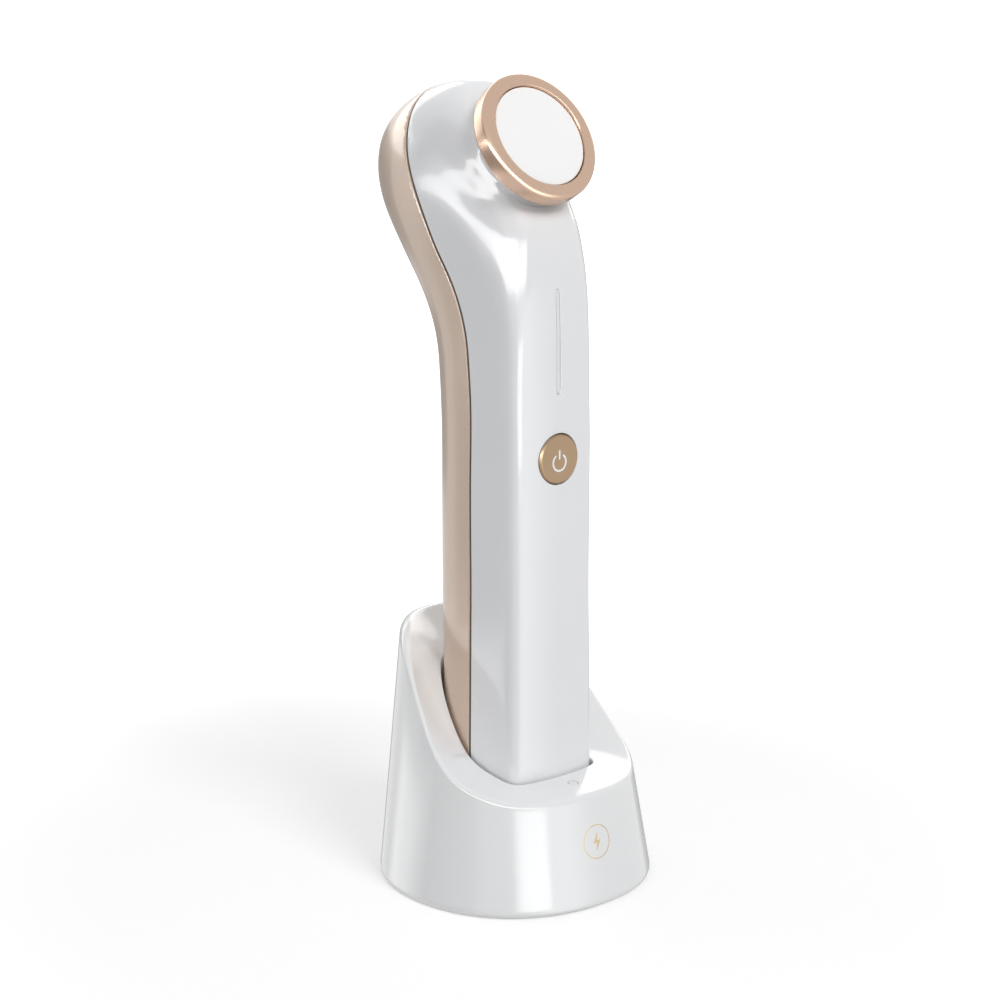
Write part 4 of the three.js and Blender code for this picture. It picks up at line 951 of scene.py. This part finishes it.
inlet_hole = pill(INLET_WIDTH + 0.8, INLET_HEIGHT + 0.8)
cutters = [tube("inlet_cutter", [upright(inlet_hole, y) for y in (28.0, 44.0)], dock_plastic),
           tube("lens_cutter", [lying(LENS_HOLE, z) for z in (20.0, 44.0)], dock_plastic)]
for cutter in cutters:
    hole = dock_body.modifiers.new("hole", "BOOLEAN")
    hole.object, hole.operation, hole.solver = cutter, "DIFFERENCE", "EXACT"
apply(dock_body, 35)
for cutter in cutters:
    bpy.data.objects.remove(cutter)
place(dock_body, "dock", "white_gloss", "dock_shell")

# %% [markdown]
# On the wall below the scoop stands a thin gold sign for charging: a ring with a bolt in it. Such a
# print is a few hundredths of a millimetre thick, so it is built on the wall itself, from the formula
# of the wall.

# %% Charging sign
CHARGE_SIGN_Z, CHARGE_SIGN_RADIUS, CHARGE_SIGN_LINE = 16.6, 4.35, 0.26


def on_wall(across, up, height):
    """A point on the front of the dock's wall."""
    z = CHARGE_SIGN_Z + 0.98 * up
    side, front = DOCK_HALF_WIDTH - DRAFT_SIDE * z, DOCK_FRONT - DRAFT_FRONT * z
    deep = (1 - abs(across / side) ** WALL_SQUARE_FRONT) ** (1 / WALL_SQUARE_FRONT)
    return [across, -front * deep - height, z]


charge_ring = [CHARGE_SIGN_RADIUS * np.array([math.sin(a), math.cos(a)])
               for a in np.linspace(0, 2 * math.pi, 97)]
sign = stroke("charging_sign_ring", charge_ring, CHARGE_SIGN_LINE, on_wall, gold_ink, ends=0)
place(sign, "dock", "gold_contact")
bolt = [(0.4, 2.5), (-1.15, -0.3), (-0.12, -0.3), (-0.4, -2.5), (1.15, 0.3), (0.12, 0.3)]
bolt_points = [on_wall(*corner, height) for height in (0.03, -0.05) for corner in bolt]
bolt_faces = [tuple(range(6)), tuple(range(11, 5, -1))]
bolt_faces += [(i, i + 6, (i + 1) % 6 + 6, (i + 1) % 6) for i in range(6)]
sign = build("charging_sign_bolt", bolt_points, bolt_faces, gold_ink, sharp=50)
place(sign, "dock", "gold_contact")

# %% [markdown]
# The charging light's lens is a small round peg that follows the slope of the scoop. The power inlet
# is a drawn steel shroud with a tongue in it. Each is a stack of outlines joined into a solid.

# %% Charging light and power inlet
front_spoke = int(np.argmin(spoke_y))
lens_top = float(scoop_z(np.full(SPOKES, -LENS_Y))[front_spoke])
lens_slope = float(scoop_slope[front_spoke] * 0.75)
LENS = [(0.9, -2.0), (LENS_RADIUS, -2.0), (LENS_RADIUS, -0.12), (LENS_RADIUS - 0.1, -0.02), (0.6, 0.04),
        (0.05, 0.05)]
lens_rings = [lying(r, lens_top + rise - lens_slope * r * np.sin(circle)) for r, rise in LENS]
place(tube("charging_light_lens", lens_rings, milky), "dock", "light_diffuser", "dock_light_lens")
inlet_face = DOCK_BACK - DRAFT_BACK * INLET_Z - 0.3
inlet_back = inlet_face - INLET_LENGTH
SHROUD = [(0.0, inlet_back), (0.0, inlet_face - 0.1), (0.15, inlet_face), (0.6, inlet_face),
          (0.7, inlet_face - 0.1), (0.7, inlet_back + 1.2)]
shroud_rings = [upright(pill(INLET_WIDTH - less, INLET_HEIGHT - less), y) for less, y in SHROUD]
place(tube("power_inlet_shroud", shroud_rings, steel), "dock", "steel", "power_inlet")
TONGUE = [(0, inlet_back + 0.6), (0, inlet_face - 1.1), (0.1, inlet_face - 1)]
tongue_rings = []
for less, y in TONGUE:
    x, h = 3.3 - less, 0.35 - less
    tongue_rings.append(upright([(-x, -h), (x, -h), (x, h), (-x, h)], y))
place(tube("power_inlet_tongue", tongue_rings, black_plastic), "dock", "dark_plastic")

# %% [markdown]
# ## Spring contacts
# Two gold plated pins stand in the socket's floor, and two gold pads in the handset's foot meet them.
# A pin has a round tip, a slim shank and a wider foot that its spring pushes up.

# %% Pins and pads
SHANK, TIP = 0.9, 0.5


def cad_box(node):
    """A CAD node's lowest and highest corner in mm."""
    return [np.array(corner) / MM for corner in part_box(node)]


for side in ("left", "right"):
    low, high = cad_box(f"charge_pin_{side}")
    foot = [(low[0] + high[0]) / 2, (low[1] + high[1]) / 2, low[2]]
    tall, flange = high[2] - low[2], (high[0] - low[0]) / 2
    pin_profile = [(NEARLY_ZERO, tall), *arc((SHANK - TIP, tall - TIP), TIP, 90, 0, 6), (SHANK, 0.85),
                   (flange - 0.1, 0.8), (flange, 0.7), (flange, 0.1), (flange - 0.1, 0),
                   (NEARLY_ZERO, 0)]
    pin = turned(f"charge_pin_plunger_{side}", pin_profile, contact_gold, foot, [0, 0, 1], steps=64)
    place(pin, f"charge_pin_{side}", "gold_contact", f"charge_pin_{side}")
    low, high = cad_box(f"charge_pad_{side}")
    radius, thick = (high[0] - low[0]) / 2, high[2] - low[2]
    pad_profile = [(NEARLY_ZERO, thick), (radius, thick), (radius, 0.1), (radius - 0.1, 0),
                   (NEARLY_ZERO, 0)]
    pad = turned(f"charge_pad_disc_{side}", pad_profile, contact_gold, [*foot[:2], low[2]], [0, 0, 1],
                 steps=64)
    place(pad, "handset", "gold_contact", f"charge_pad_{side}")

# %% [markdown]
# Under each pin sits a wound spring of 0.4 mm steel wire. Its wire is a round section that is carried
# along a helix, with the ends wound close so that they sit flat.

# %% Springs under the pins
WIRE, TURNS, FLAT_TURNS, SIDES, PIN_TRAVEL = 0.2, 4, 0.7, 10, 1.0
for side in ("left", "right"):
    low, high = cad_box(f"charge_spring_{side}")
    centre, wound = (low + high) / 2, (high[0] - low[0]) / 2 - WIRE
    turns = np.linspace(0, 1, TURNS * 24 + 1) * TURNS
    share = np.clip((turns - FLAT_TURNS) / (TURNS - 2 * FLAT_TURNS), 0, 1)
    rise = share * (high[2] - low[2] - 2 * WIRE) + low[2] + WIRE
    sections = []
    for z, t in zip(rise, turns * 2 * np.pi):
        out = np.array([math.cos(t), math.sin(t), 0])
        spot = np.array([centre[0], centre[1], z]) + wound * out
        sections.append([spot + WIRE * (math.cos(a) * out + math.sin(a) * np.array([0, 0, 1]))
                         for a in 2 * np.pi * np.arange(SIDES) / SIDES])
    coil = tube(f"charge_spring_wire_{side}", sections, steel)
    place(coil, "dock", "steel", f"charge_spring_{side}")
    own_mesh(coil)

# %% [markdown]
# ## Everything else
# The other pieces keep the shape that the CAD model gives them, most of them inside. Each gets a
# finish of its own kind, so that it reads well when a shell is hidden or the handset is lifted.

# %% Finishes for the CAD pieces
by_slot = {"white_gloss": white_plastic, "champagne_gloss": champagne, "rose_gold_satin": rose_gold,
           "bronze_satin": bronze, "dark_seal": seal, "ceramic_white": ceramic,
           "dark_plastic": black_plastic, "circuit_board": board_green, "steel": steel,
           "gold_contact": contact_gold, "dark_rubber": rubber, "copper": copper,
           "light_diffuser": milky, "lead_red": cable_red, "cell_wrap": cell_blue,
           "light_grey_plastic": grey_plastic}
dressed = 0
for part in frame["record"]["subparts"]:
    node = frame["nodes"][part["node"]]
    if not node.hide_render:
        node.data.materials.clear()
        node.data.materials.append(by_slot[part["material_slot"]].material)
        dressed += 1
print("CAD pieces with a finish:", dressed)

# %% [markdown]
# ## Floor, backdrop and lamps
# The photograph was taken on white, with light from the front left and a soft floor shadow. The floor
# is white and keeps the object's shadow. Rays that come from the camera, or that a glossy surface
# sends out, find pure white in the distance, and the rest find a dimmer sky, so that pale surfaces
# keep their modelling.

# %% Floor and sky
def only_seen(nodes, dim):
    """A strength of 1 for camera, glossy and transmission rays and of dim for the rest."""
    path = nodes.node("ShaderNodeLightPath").socket.node
    seen = [Wire(nodes, path.outputs[f"Is {kind} Ray"]) for kind in ("Camera", "Glossy", "Transmission")]
    return nodes.node("ShaderNodeMapRange", {"clamp": True},
                      {"Value": seen[0] + seen[1] + seen[2], "To Min": dim, "To Max": 1.0})


SKY, FLOOR_GLOW, WHITE = 0.58, 0.325, (1, 1, 1, 1)
NEAR, FAR = 0.1, 0.4
world = bpy.data.worlds.new("white room")
world.use_nodes = True
scene.world = world
sky = Nodes(world.node_tree)
sky.show(sky.node("ShaderNodeBackground", inputs={"Color": WHITE, "Strength": only_seen(sky, SKY)}),
         "ShaderNodeOutputWorld")

floor_paint = Finish("white floor")
away = floor_paint.node("ShaderNodeVectorMath", {"operation": "LENGTH"},
                        {0: floor_paint.node("ShaderNodeTexCoord", output="Object")}, output="Value")
far = floor_paint.node("ShaderNodeMapRange", {"interpolation_type": "SMOOTHSTEP"},
                       {"Value": away, "From Min": NEAR, "From Max": FAR})
floor_paint.surface(
    Base_Color=floor_paint.mix(floor_paint.noise(3, 1.0), (0.78, 0.78, 0.78, 1), (0.77, 0.77, 0.77, 1)),
    Roughness=0.9, Specular_IOR_Level=0.0,
    Emission_Color=floor_paint.mix(far, (FLOOR_GLOW, FLOOR_GLOW, FLOOR_GLOW, 1), WHITE),
    Emission_Strength=only_seen(floor_paint, 0.0))
bpy.ops.mesh.primitive_plane_add(size=60, location=(0, 0, 0))
floor = bpy.context.object
floor.name = "floor"
floor.data.materials.append(floor_paint.material)
floor.visible_glossy = False
floor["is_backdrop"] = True
print("sky at", SKY, "and floor at", FLOOR_GLOW)

# %% [markdown]
# Two softboxes light the object. The larger share comes from the front and above, and a little comes
# from behind, so that the dock's rim and the top of the head stand off from the background. Neither
# shows in a mirror-like surface: the cards of the next step do that work.

# %% Lamps
LAMP_AIM = Vector((0, 0, 0.12))


def lamp(name, azimuth, elevation, distance, size, watts):
    """A softbox at a heading seen from the object: 0 in front, negative towards the photographer."""
    data = bpy.data.lights.new(name, "AREA")
    data.shape, data.size, data.size_y, data.energy = "RECTANGLE", size, size, watts
    made = bpy.data.objects.new(name, data)
    scene.collection.objects.link(made)
    turn, rise = math.radians(azimuth), math.radians(elevation)
    way = Vector((math.sin(turn) * math.cos(rise), -math.cos(turn) * math.cos(rise), math.sin(rise)))
    made.location = LAMP_AIM + distance * way
    made.rotation_euler = (-way).to_track_quat("-Z", "Y").to_euler()
    made.visible_glossy = False


lamp("softbox in front", -4, 46, 1.1, 0.4, 3.9)
lamp("softbox behind", -165, 64, 1.0, 0.5, 0.9)

# %% [markdown]
# Glossy plastic is shaped by what it mirrors. A photographer stands bright cards round such an object,
# and the long white bands on the handset and on the dock are those cards. The cards below are seen by
# mirror-like rays only, so they draw the bands without adding light. Each one fades towards its sides.

# %% Cards for the reflections
sheets = []


def glowing(name, points, faces, spread, glow, soft, soft_up):
    """A glowing sheet for mirror-like rays; spread holds each corner's place across and up, 0 to 1."""
    paint = Finish(name)
    chart_at = paint.node("ShaderNodeTexCoord", output="UV")
    fades = []
    for axis, edge in (("X", soft), ("Y", soft_up)):
        spot = paint.node("ShaderNodeSeparateXYZ", inputs={0: chart_at}, output=axis)
        fades.append(paint.node("ShaderNodeMapRange", {"interpolation_type": "SMOOTHSTEP"},
                                {"Value": abs(spot - 0.5), "From Min": 0.5 - edge, "From Max": 0.5,
                                 "To Min": 1.0, "To Max": 0.0}))
    colour = paint.mix(fades[0] * fades[1], WHITE, (glow, glow, glow, 1))
    paint.surface(Base_Color=(0, 0, 0, 1), Roughness=1.0, Specular_IOR_Level=0.0, Emission_Color=colour,
                  Emission_Strength=1.0)
    mesh = bpy.data.meshes.new(name)
    mesh.from_pydata(points, [], faces)
    chart = mesh.uv_layers.new(name="spread")
    for loop in mesh.loops:
        chart.data[loop.index].uv = spread[loop.vertex_index]
    mesh.materials.append(paint.material)
    if min(p[2] for p in points) < 0:  # the floor would hide such a card from the light sampler
        paint.material.cycles.emission_sampling = "NONE"
    made = bpy.data.objects.new(name, mesh)
    scene.collection.objects.link(made)
    made.visible_camera = made.visible_diffuse = made.visible_shadow = made.visible_transmission = False
    made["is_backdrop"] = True
    sheets.append(made)


print("a sheet is:", glowing.__doc__.split(";")[0])

# %% [markdown]
# A flat card gives a straight band of light. The strip that winds from the neck up to the head needs a
# bent one, because the surface turns there, so a ribbon follows the object round and changes its
# height as it goes.

# %% Flat cards and bent ribbons
RIBBON_STEPS, RIBBON_EYE = 48, 0.17


def card(name, azimuth, width, low, high, distance, glow, soft=0.1, soft_up=0.1):
    """An upright card at a heading, from low to high in metres, that faces the object."""
    turn = math.radians(azimuth)
    middle = np.array([math.sin(turn), -math.cos(turn)]) * distance
    across = np.array([math.cos(turn), math.sin(turn)]) * width
    corners = [(0, 0), (1, 0), (1, 1), (0, 1)]
    points = [(*(middle + across * (u - 0.5)), low + v * (high - low)) for u, v in corners]
    glowing(name, points, [(0, 1, 2, 3)], corners, glow, soft, soft_up)


def ribbon(name, stations, distance, glow, soft_up=0.2):
    """A card bent round the object: a station is a heading and the angles of rise of both edges."""
    stations = np.array(stations, float)
    headings = np.linspace(stations[0, 0], stations[-1, 0], RIBBON_STEPS + 1)
    edges = np.radians(spline(stations[:, 0], stations[:, 1:])(headings))
    points, spread = [], []
    for i, (heading, rises) in enumerate(zip(np.radians(headings), edges)):
        for v, rise in enumerate(rises):
            points.append((math.sin(heading) * distance, -math.cos(heading) * distance,
                           RIBBON_EYE + distance * math.tan(rise)))
            spread.append((i / RIBBON_STEPS, v))
    faces = [(2 * i, 2 * i + 2, 2 * i + 3, 2 * i + 1) for i in range(RIBBON_STEPS)]
    glowing(name, points, faces, spread, glow, 0.04, soft_up)


print("a ribbon has", RIBBON_STEPS, "faces")

# %% [markdown]
# The places of the sheets were read off the photograph: each bright or grey patch on the glossy shells
# is a mirror image, and the slope of the shell tells where its source stood.

# %% Place the sheets
card("card front", -18, 0.66, 0.13, 0.55, 1.0, 6.5, soft=0.06, soft_up=0.25)
card("card front wide", 5, 1.5, -0.8, 0.14, 0.98, 2.8, soft=0.45, soft_up=0.05)
card("card for the dock", -18, 0.8, -0.11, 0.06, 0.96, 6.5, soft=0.3, soft_up=0.2)
ribbon("ribbon left", [(-144, -4.5, -3), (-137, -4.8, -2), (-126, -4.2, -0.5), (-118, -2.4, 2),
                       (-110, -1, 4.5), (-103, -1.6, 6.5), (-95, -2.8, 9.5), (-85, -2.5, 12),
                       (-70, -1, 16), (-55, 0, 19), (-40, -1, 20), (-30, -2, 20)],
       0.95, 8.0, soft_up=0.1)
ribbon("ribbon behind", [(150, 26, 40), (157, 23, 41), (165, 19, 40), (172, 15, 39), (180, 11, 36),
                         (188, 8, 30), (195, 5, 23), (203, 2, 15), (212, 0, 6)], 1.0, 3.0)
card("grey card left", -110, 1.7, -0.9, 0.8, 1.1, 0.45)
card("card back right", 122, 1.0, 0.32, 0.95, 1.05, 2.8)
card("grey card behind", 180, 0.75, -0.14, 0.36, 1.02, 0.35, soft=0.05)
card("grey card right", 130, 1.3, -0.9, 0.32, 1.1, 0.4)
card("card left of the dock", -148, 0.22, -0.11, 0.004, 0.25, 2.4, soft=0.35, soft_up=0.2)
print("glowing sheets:", len(sheets))

# %% Size of the scene
low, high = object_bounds()
print("scene box:", [round(v / MM, 1) for v in (*low, *high)])
